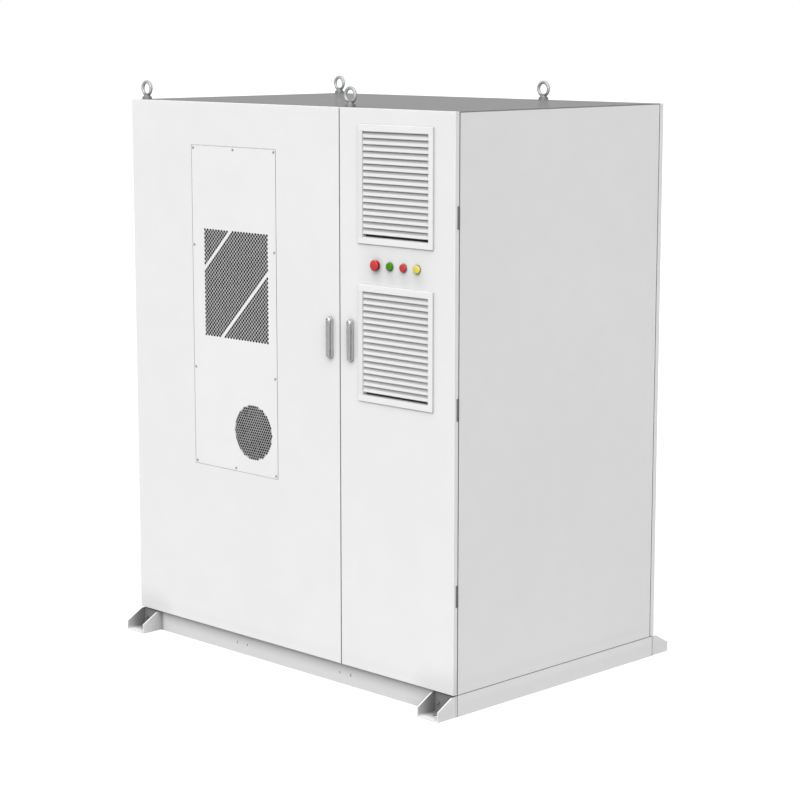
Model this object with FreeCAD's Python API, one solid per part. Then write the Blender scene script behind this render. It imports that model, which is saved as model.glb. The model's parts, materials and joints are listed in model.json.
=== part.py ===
import FreeCAD, Part
import math
import os

os.makedirs("parts", exist_ok=True)

Vec = FreeCAD.Vector
ORIGIN = Vec(0, 0, 0)
EAST = Vec(1, 0, 0)
NORTH = Vec(0, 1, 0)
UP = Vec(0, 0, 1)

# Overall body
width = 1808.0
depth = 1165.0
height = 2200.0
sheet = 2.0
base_height = 81.0
base_setback = 17.0
half_width = width / 2
base_half_depth = (depth - base_setback) / 2
front = -base_half_depth - base_setback
rear = base_half_depth

# Clearances
running = 0.05
loose = 0.3
seat_gap = 0.1
screw_play = 0.3

# Doors
door_bottom = 85.6
door_flange = 19.7
door_seam = 5.5
split_x = 313.7
split_gap = 5.0
door_lip = 45.0
latch_lip = 88.0
edge_radius = 1.4
frame_front = front + door_flange + door_seam
frame_rear = rear - door_flange - door_seam

# Frame
post = 56.0
post_wall = 3.0
post_out_x = half_width - 5.5
post_in_x = post_out_x - post
centre_post_x = 322.0
centre_left = centre_post_x - post / 2
centre_right = centre_post_x + post / 2
roof_sheet = 4.0
roof_seam = 22.5
frame_top = height - roof_sheet
head_plate = 12.0
lip_height = 50.0

# Side panels
panel_bottom = 84.0

# Rear panels
rear_screw_inset = 21.0
rear_screw_low = 180.0
rear_screw_high = 2110.0
rear_screw_rows = 6
rear_screw_r = 3.0
rear_screw_head_r = 6.0
rear_screw_head = 3.0
rear_boss_r = 9.0

# Door seals
seal_width = 13.0
seal_end_x = 877.0
seal_split_inset = 3.0
seal_bottom_inset = 20.0
seal_top_inset = 42.0

# Floor and cable entry
gland_x = 596.0
gland_y = -60.0
gland_plate_x = 130.0
gland_plate_y = 90.0
gland_plate_lap = 15.0
gland_pitch = 56.0
gland_bore_r = 12.5
gland_body_r = 19.0
gland_thread_r = 15.0
gland_body = 16.0
gland_cap = 14.0
gland_nut = 6.0
gland_thread_below = 12.0

# Hinges
hinge_x = half_width - 2.5
hinge_y = front + 17.5
hinge_heights = (455.0, 1140.5, 1828.5)
hinge_length = 80.0
knuckle_r = 5.0
hinge_pin_r = 2.5
knuckle_length = 26.0
leaf = 2.5
leaf_clear = 6.0

# Lifting eyes
eye_left_x = -860.0
eye_right_x = 328.0
eye_inset = 44.5
eye_ring_r = 26.0
eye_wire_r = 6.5
eye_centre_height = 44.0
eye_collar_r = 19.5
eye_collar_height = 11.0
eye_neck_r = 10.0
eye_shank_r = 8.0
eye_shank_length = 40.0

# Foot brackets
foot_centre_x = 849.0
foot_width = 106.0
foot_reach = 94.5
foot_height = 78.0
foot_plate = 5.0
foot_flat = 22.0
foot_toe = 38.0
foot_slot_out = 43.0
foot_slot_r = 9.0
foot_slot_length = 30.0
foot_bolt_spacing = 60.0
foot_bolt_z = 43.0
bolt_r = 4.0
bolt_head_r = 6.5
bolt_head = 8.0
bolt_key_flats = 6.0
bolt_key_depth = 4.0
bolt_nut_flats = 13.0
bolt_nut = 6.5
bolt_end = 3.0
washer_r = 8.0
washer = 1.6
spare_pair_x = (-277.7, 320.0)
spare_hole_r = 5.0

# Base channel
base_wall = 4.0
base_flange = 54.0
base_seam = 4.0

# Air conditioner in the left door
ac_left = -531.5
ac_right = -39.0
ac_bottom = 754.5
ac_top = 2030.3
ac_seam = 2.4
ac_screw_inset_x = 9.5
ac_screw_inset_z = 10.2
ac_mid_screws = (1637.0, 1147.0)
ac_flange = 20.0
ac_depth = 268.0
ac_bulkhead_y = 12.0
ac_lap = 15.0
coil_margin = 8.0
coil_lap = 10.0
coil_fin = 22.0
coil_fins = 48
vent_slot = 8.0
vent_slot_pitch = 22.0
vent_slot_rows = 12
vent_slot_inset = 60.0
compressor_x = -285.0
compressor_y = front + 165.0
compressor_r = 70.0
compressor_height = 200.0
compressor_foot_r = 85.0
compressor_leg_r = 10.0
compressor_leg_at = 55.0
cover_screw_r = 2.4
cover_head_r = 4.5
cover_head = 1.5
hole_r = 5.2
mesh_x = -273.7
mesh_z = 1492.2
mesh_step = 8.331
mesh_columns = 45
mesh_rows = 51
stripe_diagonals = (32, -12)
round_x = -180.2
round_z = 919.9
round_pitch = 11.8
round_reach = 107.0

# Louvres in the right door
louvre_x = 608.3
louvre_width = 384.5
louvre_height = 435.0
louvre_centres = (1925.0, 1338.5)
louvre_side_border = 24.0
louvre_proud = 5.0
louvre_collar = 16.0
louvre_wall = 2.0
blade_gaps = 17
blade_gap = 10.0
blade_lip = 13.4
blade_recess = 5.0
blade_setback = 13.0
blade_sheet = 1.2
filter_thick = 10.0

# Fans
ac_fan_r = 108.0
vent_fan_r = 140.0
fan_tip_gap = 4.0
fan_ring = 44.0
fan_hub_r = 42.0
fan_hub = 30.0
fan_shaft_r = 4.0
fan_blade = 2.0
fan_blade_chord = 40.0
fan_blade_turn = 32.0
fan_inset = 5.0
fan_strut = 6.0
motor_r = 38.0
motor = 26.0
ac_fan_plate_x = 119.0
ac_fan_plate_z = 125.0
vent_fan_lap = 12.0

# Buttons and lamps
panel_row_z = 1632.4
panel_row_x = 511.0
panel_pitch = 69.3
lamp_r = 15.0
lamp_face = 11.0
stop_r = 20.0
stop_face = 20.0
stop_head = 9.0
stop_travel = 5.0
stem_r = 8.0
collar_r = 16.5
collar_height = 3.0
panel_hole_r = 11.0
contact_start = 29.0
contact_end = 49.0
contact_half = 15.0
contact_half_height = 20.0

# Handles and latches
handle_x = (266.5, 378.0)
handle_low = 1264.0
handle_high = 1422.0
handle_width = 24.0
handle_plate = 12.4
handle_plate_floor = 4.0
lever_width = 22.0
lever_gap = 0.6
lever_thick = 9.0
lever_back = handle_plate + lever_gap
lever_face = lever_back + lever_thick
lever_margin = 3.0
lever_skin = 1.6
lift_depth = lever_back + 3.0
heel_top = lever_width / 2 + 1.0
heel_slope = 0.444
spindle_z = handle_high - lever_margin - lever_width / 2
spindle_r = 5.0
spindle_hub_r = 9.0
tongue_half = 5.0
tongue_r = 3.8
tongue_clear = 1.2
lift_pin_r = 2.0
gear_module = 2.0
gear_teeth = 16
gear_backlash = 0.3
gear_addendum = 0.8
gear_root_gap = 0.4
rod_plane = frame_front + post_wall + 0.5 + 5.0
rod_depth = 10.0
rod_thick = 4.0
rod_throw = gear_module * gear_teeth / 2 * math.pi / 2
rod_overlap = 20.0
case_wall = 2.0
case_half_height = 46.0
case_back = front + 44.0
guide_heights_up = (1560.0, 1840.0, 2110.0)
guide_heights_down = (1200.0, 660.0, 170.0)
guide_half = 5.0
guide_half_height = 6.0
hub_disc = 3.2
lift_pin_half = 9.0
tail_r = 3.0

# Battery rack
pack_width = 500.0
pack_depth = 740.0
pack_height = 225.0
pack_levels = 7
pack_pitch = 268.0
pack_first_z = 160.0
rack_post = 30.0
rack_play = 5.0
rack_front = -296.0
ledge = 20.0
ledge_sheet = 3.0
pack_setback = 12.0
pack_chamfer = 6.0
pack_frame = 30.0
pack_frame_height = 25.0
pack_recess = 6.0
pack_sheet = 2.0
stack_gap = 4.0
terminal_inset = 80.0
terminal_r = 14.0
terminal_reach = 16.0
link_half = 12.0
link_thick = 5.0

# Power rack
unit_left = 396.0
unit_right = 796.0
unit_front = -385.0
unit_depth = 700.0
unit_rack_top = 2060.0
unit_shelves = (140.0, 450.0, 1300.0, 1640.0)
unit_tops = (400.0, 1250.0, 1560.0, 1780.0)
unit_depths = (600.0, 660.0, 400.0, 140.0)
unit_fascia = 12.0
unit_edge = 3.0

# Knob and sockets on the high voltage box
knob_x = 470.0
knob_z = 270.0
knob_r = 32.0
knob_disc = 13.5
knob_gap = 0.5
knob_grip = 20.0
knob_grip_half = 7.0
knob_shaft_r = 7.0
knob_shaft = 28.0
knob_bush_r = 12.0
socket_r = 18.0
socket_reach = 14.0
socket_first_x = 570.0
socket_pitch = 55.0

# Converter modules and control box
module_first = 20.0
module_pitch = 195.0
module_slots = 14
module_slot_pitch = 20.0
module_slot = 9.0
module_slot_low = 40.0
module_slot_high = 150.0
fascia_cut = 8.0
screen_low = 1370.0
screen_high = 1490.0
port_z = 1400.0

# Breaker
lever_axis_y = unit_front + 4
lever_axis_z = 1700.0
lever_barrel_r = 15.0
lever_left = 500.0
lever_right = 690.0
lever_stub_r = 3.0
lever_stub = 12.0
lever_reach = 38.0
lever_paddle_half = 4.0
lever_rest_turn = 30.0
cheek = 20.0
cheek_half = 14.0

# Fire suppression cylinder
cylinder_x = -700.0
cylinder_r = 70.0
cylinder_foot_r = 60.0
cylinder_height = 500.0
cylinder_wall_gap = 5.0
cylinder_y = frame_front + post + cylinder_wall_gap + cylinder_r


def box(x0, x1, y0, y1, z0, z1):
    return Part.makeBox(x1 - x0, y1 - y0, z1 - z0, Vec(x0, y0, z0))


def bar(radius, start, direction, length):
    return Part.makeCylinder(radius, length, start, direction)


def joined(shapes):
    return shapes[0].multiFuse(shapes[1:]).removeSplitter()


def without(shape, tools):
    return shape.cut(Part.makeCompound(tools))


def extruded(points, along):
    wire = Part.makePolygon([Vec(*p) for p in points] + [Vec(*points[0])])
    return Part.Face(wire).extrude(along)


def mirrored(shape):
    return shape.mirror(ORIGIN, EAST)


def save(node, shape):
    shape.exportStep("parts/" + node + ".step")
    print(node, len(shape.Solids), "solids")


def hexagon(flats, centre, along):
    corner = flats / math.sqrt(3)
    points = []
    for k in range(6):
        turn = math.radians(60 * k)
        points.append((centre.x + corner * math.cos(turn), centre.y, centre.z + corner * math.sin(turn)))
    return extruded(points, along)


def stadium(x, low, high, half, y0, y1):
    a = Vec(x - half, y0, low + half)
    b = Vec(x - half, y0, high - half)
    c = Vec(x + half, y0, high - half)
    d = Vec(x + half, y0, low + half)
    top = Part.Arc(b, Vec(x, y0, high), c).toShape()
    bottom = Part.Arc(d, Vec(x, y0, low), a).toShape()
    wire = Part.Wire([Part.makeLine(a, b), top, Part.makeLine(c, d), bottom])
    return Part.Face(wire).extrude(Vec(0, y1 - y0, 0))


def rounded_front(shape, y, radius):
    edges = []
    for edge in shape.Edges:
        if all(abs(v.Y - y) < 0.001 for v in edge.Vertexes):
            edges.append(edge)
    return shape.makeFillet(radius, edges)


def square_tube(x0, x1, y0, y1, z0, z1, axis):
    w = post_wall
    outer = box(x0, x1, y0, y1, z0, z1)
    if axis == "x":
        return outer.cut(box(x0, x1, y0 + w, y1 - w, z0 + w, z1 - w))
    if axis == "y":
        return outer.cut(box(x0 + w, x1 - w, y0, y1, z0 + w, z1 - w))
    return outer.cut(box(x0 + w, x1 - w, y0 + w, y1 - w, z0, z1))


# Base channel with the foot brackets and their bolts

def foot_places():
    places = []
    for side in (-1, 1):
        for end in (-1, 1):
            places.append((side * foot_centre_x, end))
    return places


def base_frame():
    b = base_half_depth
    ring = box(-half_width, half_width, -b, b, 0, base_height)
    hollow = box(-half_width + base_wall, half_width - base_wall, -b + base_wall, b - base_wall,
                 base_wall, base_height - base_wall)
    centre = box(-half_width + base_flange, half_width - base_flange, -b + base_flange, b - base_flange,
                 0, base_height)
    tools = [hollow.fuse(centre)]
    for side in (-1, 1):
        for end in (-1, 1):
            x0, x1 = sorted((side * (half_width - base_wall), side * (half_width + 1)))
            y0, y1 = sorted((end * (b - base_wall), end * (b - base_wall - base_seam)))
            tools.append(box(x0, x1, y0, y1, -1, base_height + 1))
    for x, end in foot_places():
        for offset in (-foot_bolt_spacing / 2, foot_bolt_spacing / 2):
            start = Vec(x + offset, end * (b + 1), foot_bolt_z)
            tools.append(bar(bolt_r + screw_play, start, Vec(0, -end, 0), base_wall + 2))
    for x in spare_pair_x:
        for offset in (-foot_bolt_spacing / 2, foot_bolt_spacing / 2):
            tools.append(bar(spare_hole_r, Vec(x + offset, -b - 1, foot_bolt_z), NORTH, base_wall + 2))
    return without(ring, tools)


def foot_bracket(x, end):
    face = end * base_half_depth
    half = foot_width / 2

    def out(distance):
        return face + end * distance
    sides = []
    for left in (x - half, x + half - foot_plate):
        profile = [(left, out(0), 0), (left, out(foot_reach), 0), (left, out(foot_reach), foot_toe),
                   (left, out(foot_flat), foot_height), (left, out(0), foot_height)]
        sides.append(extruded(profile, Vec(foot_plate, 0, 0)))
    low, high = sorted((out(0), out(foot_plate)))
    back = box(x - half, x + half, low, high, 0, foot_height)
    low, high = sorted((out(0), out(foot_reach)))
    sole = box(x - half, x + half, low, high, 0, foot_plate)
    bracket = joined([back, sole] + sides)
    slot_y = out(foot_plate + foot_slot_out)
    run = foot_slot_length / 2 - foot_slot_r
    slot = [bar(foot_slot_r, Vec(x - run, slot_y, -1), UP, foot_plate + 2),
            bar(foot_slot_r, Vec(x + run, slot_y, -1), UP, foot_plate + 2),
            box(x - run, x + run, slot_y - foot_slot_r, slot_y + foot_slot_r, -1, foot_plate + 1)]
    tools = [joined(slot)]
    for offset in (-foot_bolt_spacing / 2, foot_bolt_spacing / 2):
        start = Vec(x + offset, out(-1), foot_bolt_z)
        tools.append(bar(bolt_r + screw_play, start, Vec(0, end, 0), foot_plate + 2))
    return without(bracket, tools)


def foot_bolt(x, end):
    face = end * (base_half_depth + foot_plate)
    outward = Vec(0, end, 0)
    inner = end * (base_half_depth - base_wall)
    nut = inner - end * (washer + bolt_nut)
    start = nut - end * bolt_end
    key = hexagon(bolt_key_flats, Vec(x, face + end * (bolt_head - bolt_key_depth), foot_bolt_z),
                  outward * (bolt_key_depth + 1))
    head = bar(bolt_head_r, Vec(x, face, foot_bolt_z), outward, bolt_head).cut(key)
    pieces = [bar(bolt_r, Vec(x, start, foot_bolt_z), outward, abs(face - start) + 1),
              head,
              bar(washer_r, Vec(x, inner - end * washer, foot_bolt_z), outward, washer),
              hexagon(bolt_nut_flats, Vec(x, nut, foot_bolt_z), outward * bolt_nut)]
    return joined(pieces)


save("base_frame", base_frame())
save("foot_brackets", Part.makeCompound([foot_bracket(x, end) for x, end in foot_places()]))
foot_bolts = []
for place_x, place_end in foot_places():
    for bolt_offset in (-foot_bolt_spacing / 2, foot_bolt_spacing / 2):
        foot_bolts.append(foot_bolt(place_x + bolt_offset, place_end))
save("foot_bracket_bolts", Part.makeCompound(foot_bolts))


# Welded frame, panels, roof and lifting eyes

rear_post_front = frame_rear - post
rail_low_top = base_height + post
rail_high_bottom = frame_top - post


def eye_places():
    places = []
    for x in (eye_left_x, eye_right_x):
        for y in (front + eye_inset, rear - eye_inset):
            places.append((x, y))
    return places


post_columns = ((-post_out_x, -post_in_x), (centre_left, centre_right), (post_in_x, post_out_x))
doorways = ((-post_in_x, centre_left), (centre_right, post_in_x))


def frame_posts():
    holes = []
    for x, y in eye_places():
        holes.append(bar(eye_shank_r + running, Vec(x, y, frame_top - head_plate - 1), UP, head_plate + 2))
    posts = []
    for x0, x1 in post_columns:
        for y0, y1 in ((frame_front, frame_front + post), (rear_post_front, frame_rear)):
            tube = square_tube(x0, x1, y0, y1, base_height, frame_top, "z")
            cap = box(x0, x1, y0, y1, frame_top - head_plate, frame_top)
            posts.append(without(tube.fuse(cap), holes))
    return posts


def frame_rails():
    rails = []
    for z0, z1 in ((base_height, rail_low_top), (rail_high_bottom, frame_top)):
        for x0, x1 in post_columns:
            rails.append(square_tube(x0, x1, frame_front + post, rear_post_front, z0, z1, "y"))
        for x0, x1 in doorways:
            rails.append(square_tube(x0, x1, rear_post_front, frame_rear, z0, z1, "x"))
    return rails


def doorway_strips():
    # An upright strip catches the latch rods and a flat one ties the posts
    strips = []
    lip_back = frame_front + post_wall
    flat_back = frame_front + post
    low_flat = base_height + post_wall
    high_flat = frame_top - post_wall
    for x0, x1 in doorways:
        strips.append(box(x0, x1, frame_front, lip_back, frame_top - lip_height, high_flat))
        strips.append(box(x0, x1, frame_front, flat_back, high_flat, frame_top))
        strips.append(box(x0, x1, frame_front, lip_back, low_flat, base_height + lip_height))
        strips.append(box(x0, x1, frame_front, flat_back, base_height, low_flat))
    return strips


def side_panel():
    x1 = half_width
    x0 = half_width - sheet
    skin = box(x0, x1, frame_front, frame_rear, panel_bottom, frame_top)
    pieces = [skin]
    for y0 in (frame_front, frame_rear - sheet):
        pieces.append(box(post_out_x, x0, y0, y0 + sheet, panel_bottom, frame_top))
    for z0 in (panel_bottom, frame_top - sheet):
        pieces.append(box(post_out_x, x0, frame_front, frame_rear, z0, z0 + sheet))
    panel = joined(pieces)
    tools = []
    for z in hinge_heights:
        half = hinge_length / 2 + 1
        tools.append(box(post_out_x - 1, x0, frame_front - 1, frame_front + sheet + 1, z - half, z + half))
    return without(panel, tools)


def roof_panel():
    roof = box(-half_width, half_width, front + roof_seam, rear - roof_seam, frame_top, height)
    tools = []
    for x, y in eye_places():
        tools.append(bar(eye_shank_r + loose, Vec(x, y, frame_top - 1), UP, roof_sheet + 2))
    return without(roof, tools)


def eye_bolt(x, y):
    centre = Vec(x, y, height + eye_centre_height)
    ring = Part.makeTorus(eye_ring_r, eye_wire_r, centre, NORTH)
    collar = bar(eye_collar_r, Vec(x, y, height), UP, eye_collar_height)
    neck_height = eye_centre_height - eye_ring_r - eye_collar_height + 1
    neck = Part.makeCone(eye_collar_r - 3, eye_neck_r, neck_height, Vec(x, y, height + eye_collar_height), UP)
    shank = bar(eye_shank_r, Vec(x, y, height - eye_shank_length), UP, eye_shank_length + 1)
    return joined([collar, neck, shank, ring])


def rear_panel(x0, x1):
    outer = box(x0, x1, rear - door_flange, rear, door_bottom, height)
    edges = [e for e in outer.Edges if all(abs(v.Y - rear) < 0.001 for v in e.Vertexes)]
    outer = outer.makeFillet(edge_radius, edges)
    cavity = box(x0 + sheet, x1 - sheet, rear - door_flange, rear - sheet, door_bottom + sheet, height - sheet)
    return outer.cut(cavity)


def rear_screw_places(x0, x1):
    places = []
    step = (rear_screw_high - rear_screw_low) / (rear_screw_rows - 1)
    for x in (x0 + rear_screw_inset, x1 - rear_screw_inset):
        for k in range(rear_screw_rows):
            places.append((x, rear_screw_low + k * step))
    return places


rear_spans = ((-half_width, split_x - split_gap / 2), (split_x + split_gap / 2, half_width))
rear_trays = []
rear_screws = []
for span_left, span_right in rear_spans:
    tray = rear_panel(span_left, span_right)
    bosses = []
    holes = []
    for screw_x, screw_z in rear_screw_places(span_left, span_right):
        seat = Vec(screw_x, frame_rear, screw_z)
        bosses.append(bar(rear_boss_r, seat, NORTH, rear - sheet - frame_rear + 1))
        holes.append(bar(rear_screw_r + screw_play, seat, NORTH, rear - frame_rear + 1))
        head = bar(rear_screw_head_r, Vec(screw_x, rear, screw_z), NORTH, rear_screw_head)
        shank = bar(rear_screw_r, seat, NORTH, rear - frame_rear + 1)
        rear_screws.append(head.fuse(shank))
    rear_trays.append(without(joined([tray] + bosses), holes))

partition = box(centre_post_x - 2, centre_post_x + 2, frame_front + post, rear_post_front,
                rail_low_top, rail_high_bottom)
save("body_frame", Part.makeCompound(frame_posts() + frame_rails() + doorway_strips()))
save("side_panels", Part.makeCompound([side_panel(), mirrored(side_panel())]))
save("roof_panel", roof_panel())
save("lifting_eye_bolts", Part.makeCompound([eye_bolt(x, y) for x, y in eye_places()]))
save("rear_panels", Part.makeCompound(rear_trays))
save("rear_panel_screws", Part.makeCompound(rear_screws))
save("partition_panel", partition)

# Floor plates and cable glands

floor_top = base_height + sheet


def floor_plates():
    y0 = frame_front + post
    y1 = rear_post_front
    left = box(-post_in_x, centre_left, y0, y1, base_height, floor_top)
    right = box(centre_right, post_in_x, y0, y1, base_height, floor_top)
    half_x = gland_plate_x - gland_plate_lap
    half_y = gland_plate_y - gland_plate_lap
    window = box(gland_x - half_x, gland_x + half_x, gland_y - half_y, gland_y + half_y,
                 base_height - 1, floor_top + 1)
    return [left, right.cut(window)]


def gland_places():
    places = []
    for column in (-1.5, -0.5, 0.5, 1.5):
        for row in (-0.5, 0.5):
            places.append((gland_x + column * gland_pitch, gland_y + row * gland_pitch))
    return places


def gland_plate():
    plate = box(gland_x - gland_plate_x, gland_x + gland_plate_x, gland_y - gland_plate_y,
                gland_y + gland_plate_y, floor_top, floor_top + sheet)
    holes = [bar(gland_thread_r, Vec(x, y, floor_top - 1), UP, sheet + 2) for x, y in gland_places()]
    return without(plate, holes)


def cable_gland(x, y):
    top = floor_top + sheet
    low = floor_top - gland_thread_below
    body = bar(gland_body_r, Vec(x, y, top), UP, gland_body)
    thread = bar(gland_thread_r - running, Vec(x, y, low), UP, top + 1 - low)
    nut = bar(gland_body_r - 1, Vec(x, y, floor_top - gland_nut), UP, gland_nut)
    cap = Part.makeCone(gland_body_r, gland_thread_r, gland_cap, Vec(x, y, top + gland_body), UP)
    bore = bar(gland_bore_r, Vec(x, y, low - 1), UP, top + gland_body + gland_cap + 2 - low)
    return joined([body, thread, nut, cap]).cut(bore)


save("floor_plates", Part.makeCompound(floor_plates()))
save("gland_plate", gland_plate())
save("cable_glands", Part.makeCompound([cable_gland(x, y) for x, y in gland_places()]))


# Door shells

left_door = (-half_width, split_x - split_gap / 2)
right_door = (split_x + split_gap / 2, half_width)
blade_pitch = blade_gap + blade_lip
louvre_in_w = louvre_width - 2 * louvre_side_border
louvre_in_h = blade_gaps * blade_gap + (blade_gaps - 1) * blade_lip
collar_w = louvre_in_w + 2 * louvre_wall
collar_h = louvre_in_h + 2 * louvre_wall


def door_shell(x0, x1, side, openings):
    outer = box(x0, x1, front, front + door_flange, door_bottom, height)
    outer = rounded_front(outer, front, edge_radius)
    cavity = box(x0 + sheet, x1 - sheet, front + sheet, front + door_flange - sheet,
                 door_bottom + sheet, height - sheet)
    hinge_lip = door_lip
    left_lip = hinge_lip if side < 0 else latch_lip
    right_lip = latch_lip if side < 0 else hinge_lip
    back = box(x0 + left_lip, x1 - right_lip, front + door_flange - sheet - 1, front + door_flange + 1,
               door_bottom + door_lip, height - door_lip)
    tools = [cavity.fuse(back)]
    edge_in = half_width - sheet - leaf - 4
    edge_out = half_width + 1
    notch = sorted((side * edge_in, side * edge_out))
    for z in hinge_heights:
        half = hinge_length / 2 + 1
        tools.append(box(notch[0], notch[1], hinge_y - leaf_clear - 0.2, front + door_flange + 1, z - half, z + half))
    return without(outer, tools + openings)


def spindle_hole(x):
    return bar(spindle_r + 1.5, Vec(x, front - 1, spindle_z), NORTH, door_flange + 2)


def left_openings():
    opening = box(ac_left - ac_seam, ac_right + ac_seam, front - 1, front + sheet + 1,
                  ac_bottom - ac_seam, ac_top + ac_seam)
    return [opening, spindle_hole(handle_x[0])]


def right_openings():
    openings = [spindle_hole(handle_x[1])]
    for z in louvre_centres:
        openings.append(box(louvre_x - collar_w / 2 - loose, louvre_x + collar_w / 2 + loose, front - 1,
                            front + sheet + 1, z - collar_h / 2 - loose, z + collar_h / 2 + loose))
    for k in range(4):
        x = panel_row_x + k * panel_pitch
        openings.append(bar(panel_hole_r + seat_gap, Vec(x, front - 1, panel_row_z), NORTH, sheet + 2))
    return openings


def door_seal(x0, x1):
    y0 = front + door_flange
    y1 = frame_front - seat_gap
    z0 = door_bottom + seal_bottom_inset
    z1 = height - seal_top_inset
    w = seal_width
    ring = box(x0, x1, y0, y1, z0, z1)
    return ring.cut(box(x0 + w, x1 - w, y0 - 1, y1 + 1, z0 + w, z1 - w))


save("left_door_shell", door_shell(left_door[0], left_door[1], -1, left_openings()))
save("right_door_shell", door_shell(right_door[0], right_door[1], 1, right_openings()))
save("left_door_seal", door_seal(-seal_end_x, left_door[1] - seal_split_inset))
save("right_door_seal", door_seal(right_door[0] + seal_split_inset, seal_end_x))


# Hinges

def frame_leaf(z):
    low = z - hinge_length / 2
    pieces = [box(post_out_x, post_out_x + leaf, hinge_y + leaf_clear, front + 60, low, low + hinge_length),
              bar(hinge_pin_r, Vec(hinge_x, hinge_y, low), UP, hinge_length)]
    for start in (low, low + hinge_length - knuckle_length):
        pieces.append(bar(knuckle_r, Vec(hinge_x, hinge_y, start), UP, knuckle_length))
        pieces.append(box(post_out_x, post_out_x + leaf, hinge_y, hinge_y + leaf_clear + 1,
                          start, start + knuckle_length))
    return joined(pieces)


def door_leaf(z):
    low = z - hinge_length / 2
    inner = half_width - sheet - leaf
    start = low + knuckle_length + loose
    length = hinge_length - 2 * knuckle_length - 2 * loose
    plate = box(inner, inner + leaf, front + sheet, hinge_y - leaf_clear, low, low + hinge_length)
    arm = box(inner, inner + leaf, front + sheet, hinge_y, start, start + length)
    knuckle = bar(knuckle_r, Vec(hinge_x, hinge_y, start), UP, length)
    bore = bar(hinge_pin_r + running, Vec(hinge_x, hinge_y, start - 1), UP, length + 2)
    return joined([plate, arm, knuckle]).cut(bore)


right_frame_leaves = [frame_leaf(z) for z in hinge_heights]
right_door_leaves = [door_leaf(z) for z in hinge_heights]
save("hinge_frame_leaves", Part.makeCompound(right_frame_leaves + [mirrored(s) for s in right_frame_leaves]))
save("right_hinge_leaves", Part.makeCompound(right_door_leaves))
save("left_hinge_leaves", Part.makeCompound([mirrored(s) for s in right_door_leaves]))


# Air conditioner in the left door

def cover_screw_places():
    left = ac_left + ac_screw_inset_x
    right = ac_right - ac_screw_inset_x
    places = []
    for z in (ac_bottom + ac_screw_inset_z, ac_top - ac_screw_inset_z):
        for x in (left, (left + right) / 2, right):
            places.append((x, z))
    for z in ac_mid_screws:
        places.append((left, z))
        places.append((right, z))
    return places


mesh_half_x = (mesh_columns - 1) / 2 * mesh_step
mesh_half_z = (mesh_rows - 1) / 2 * mesh_step


def mesh_holes():
    holes = []
    for i in range(mesh_columns):
        for j in range(mesh_rows):
            if (i + j) % 2 or j - i in stripe_diagonals:
                continue
            holes.append((mesh_x - mesh_half_x + i * mesh_step, mesh_z - mesh_half_z + j * mesh_step))
    row_step = round_pitch * math.sqrt(3) / 2
    rows = int(round_reach / row_step)
    for j in range(-rows, rows + 1):
        shift = round_pitch / 2 if j % 2 else 0.0
        for i in range(-10, 11):
            x = i * round_pitch + shift
            z = j * row_step
            if math.hypot(x, z) <= round_reach:
                holes.append((round_x + x, round_z + z))
    return holes


def cover_panel():
    corners = ((ac_left, ac_bottom), (ac_right, ac_bottom), (ac_right, ac_top), (ac_left, ac_top))
    outline = Part.makePolygon([Vec(x, front, z) for x, z in corners + corners[:1]])
    wires = [outline]
    for x, z in mesh_holes():
        wires.append(Part.Wire(Part.makeCircle(hole_r, Vec(x, front, z), NORTH)))
    for x, z in cover_screw_places():
        wires.append(Part.Wire(Part.makeCircle(cover_screw_r + screw_play, Vec(x, front, z), NORTH)))
    face = Part.makeFace(Part.makeCompound(wires), "Part::FaceMakerBullseye")
    return face.extrude(Vec(0, sheet, 0)).Solids[0]


def cover_screw(x, z):
    head = bar(cover_head_r, Vec(x, front - cover_head, z), NORTH, cover_head)
    shank = bar(cover_screw_r, Vec(x, front - 0.5, z), NORTH, 12.5)
    return head.fuse(shank)


def ac_casing():
    y_flange = front + sheet
    y_back = front + ac_depth
    left = ac_left + ac_flange
    right = ac_right - ac_flange
    low = ac_bottom + ac_flange
    high = ac_top - ac_flange
    flange = box(ac_left - ac_lap, ac_right + ac_lap, y_flange, y_flange + sheet,
                 ac_bottom - ac_lap, ac_top + ac_lap)
    trunk = box(left - sheet, right + sheet, y_flange, y_back, low - sheet, high + sheet)
    inside = box(left, right, y_flange - 1, y_back - sheet, low, high)
    bulkhead = box(left, right, front + ac_bulkhead_y, front + ac_bulkhead_y + sheet, low, high)
    coil_x = mesh_half_x + coil_margin
    coil_z = mesh_half_z + coil_margin
    window = box(mesh_x - coil_x, mesh_x + coil_x, front, front + 20, mesh_z - coil_z, mesh_z + coil_z)
    port = bar(ac_fan_r + fan_tip_gap, Vec(round_x, front + 5, round_z), NORTH, 20)
    shelf_z = mesh_z - coil_z - ac_flange - coil_lap
    shelf = box(left, right, front + ac_bulkhead_y, y_back - sheet, shelf_z - sheet, shelf_z)
    casing = flange.fuse(trunk).cut(inside)
    casing = joined([casing, bulkhead, shelf])
    tools = [window, port]
    for x, z in cover_screw_places():
        tools.append(bar(cover_screw_r + running, Vec(x, front, z), NORTH, 8))
    slots_high = high - vent_slot_inset - vent_slot_rows * vent_slot_pitch
    for row in range(vent_slot_rows):
        for z0 in (low + vent_slot_inset, slots_high):
            z = z0 + row * vent_slot_pitch
            tools.append(box(left + vent_slot_inset, right - vent_slot_inset, y_back - sheet - 1, y_back + 1,
                             z, z + vent_slot))
    return without(casing, tools)


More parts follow.
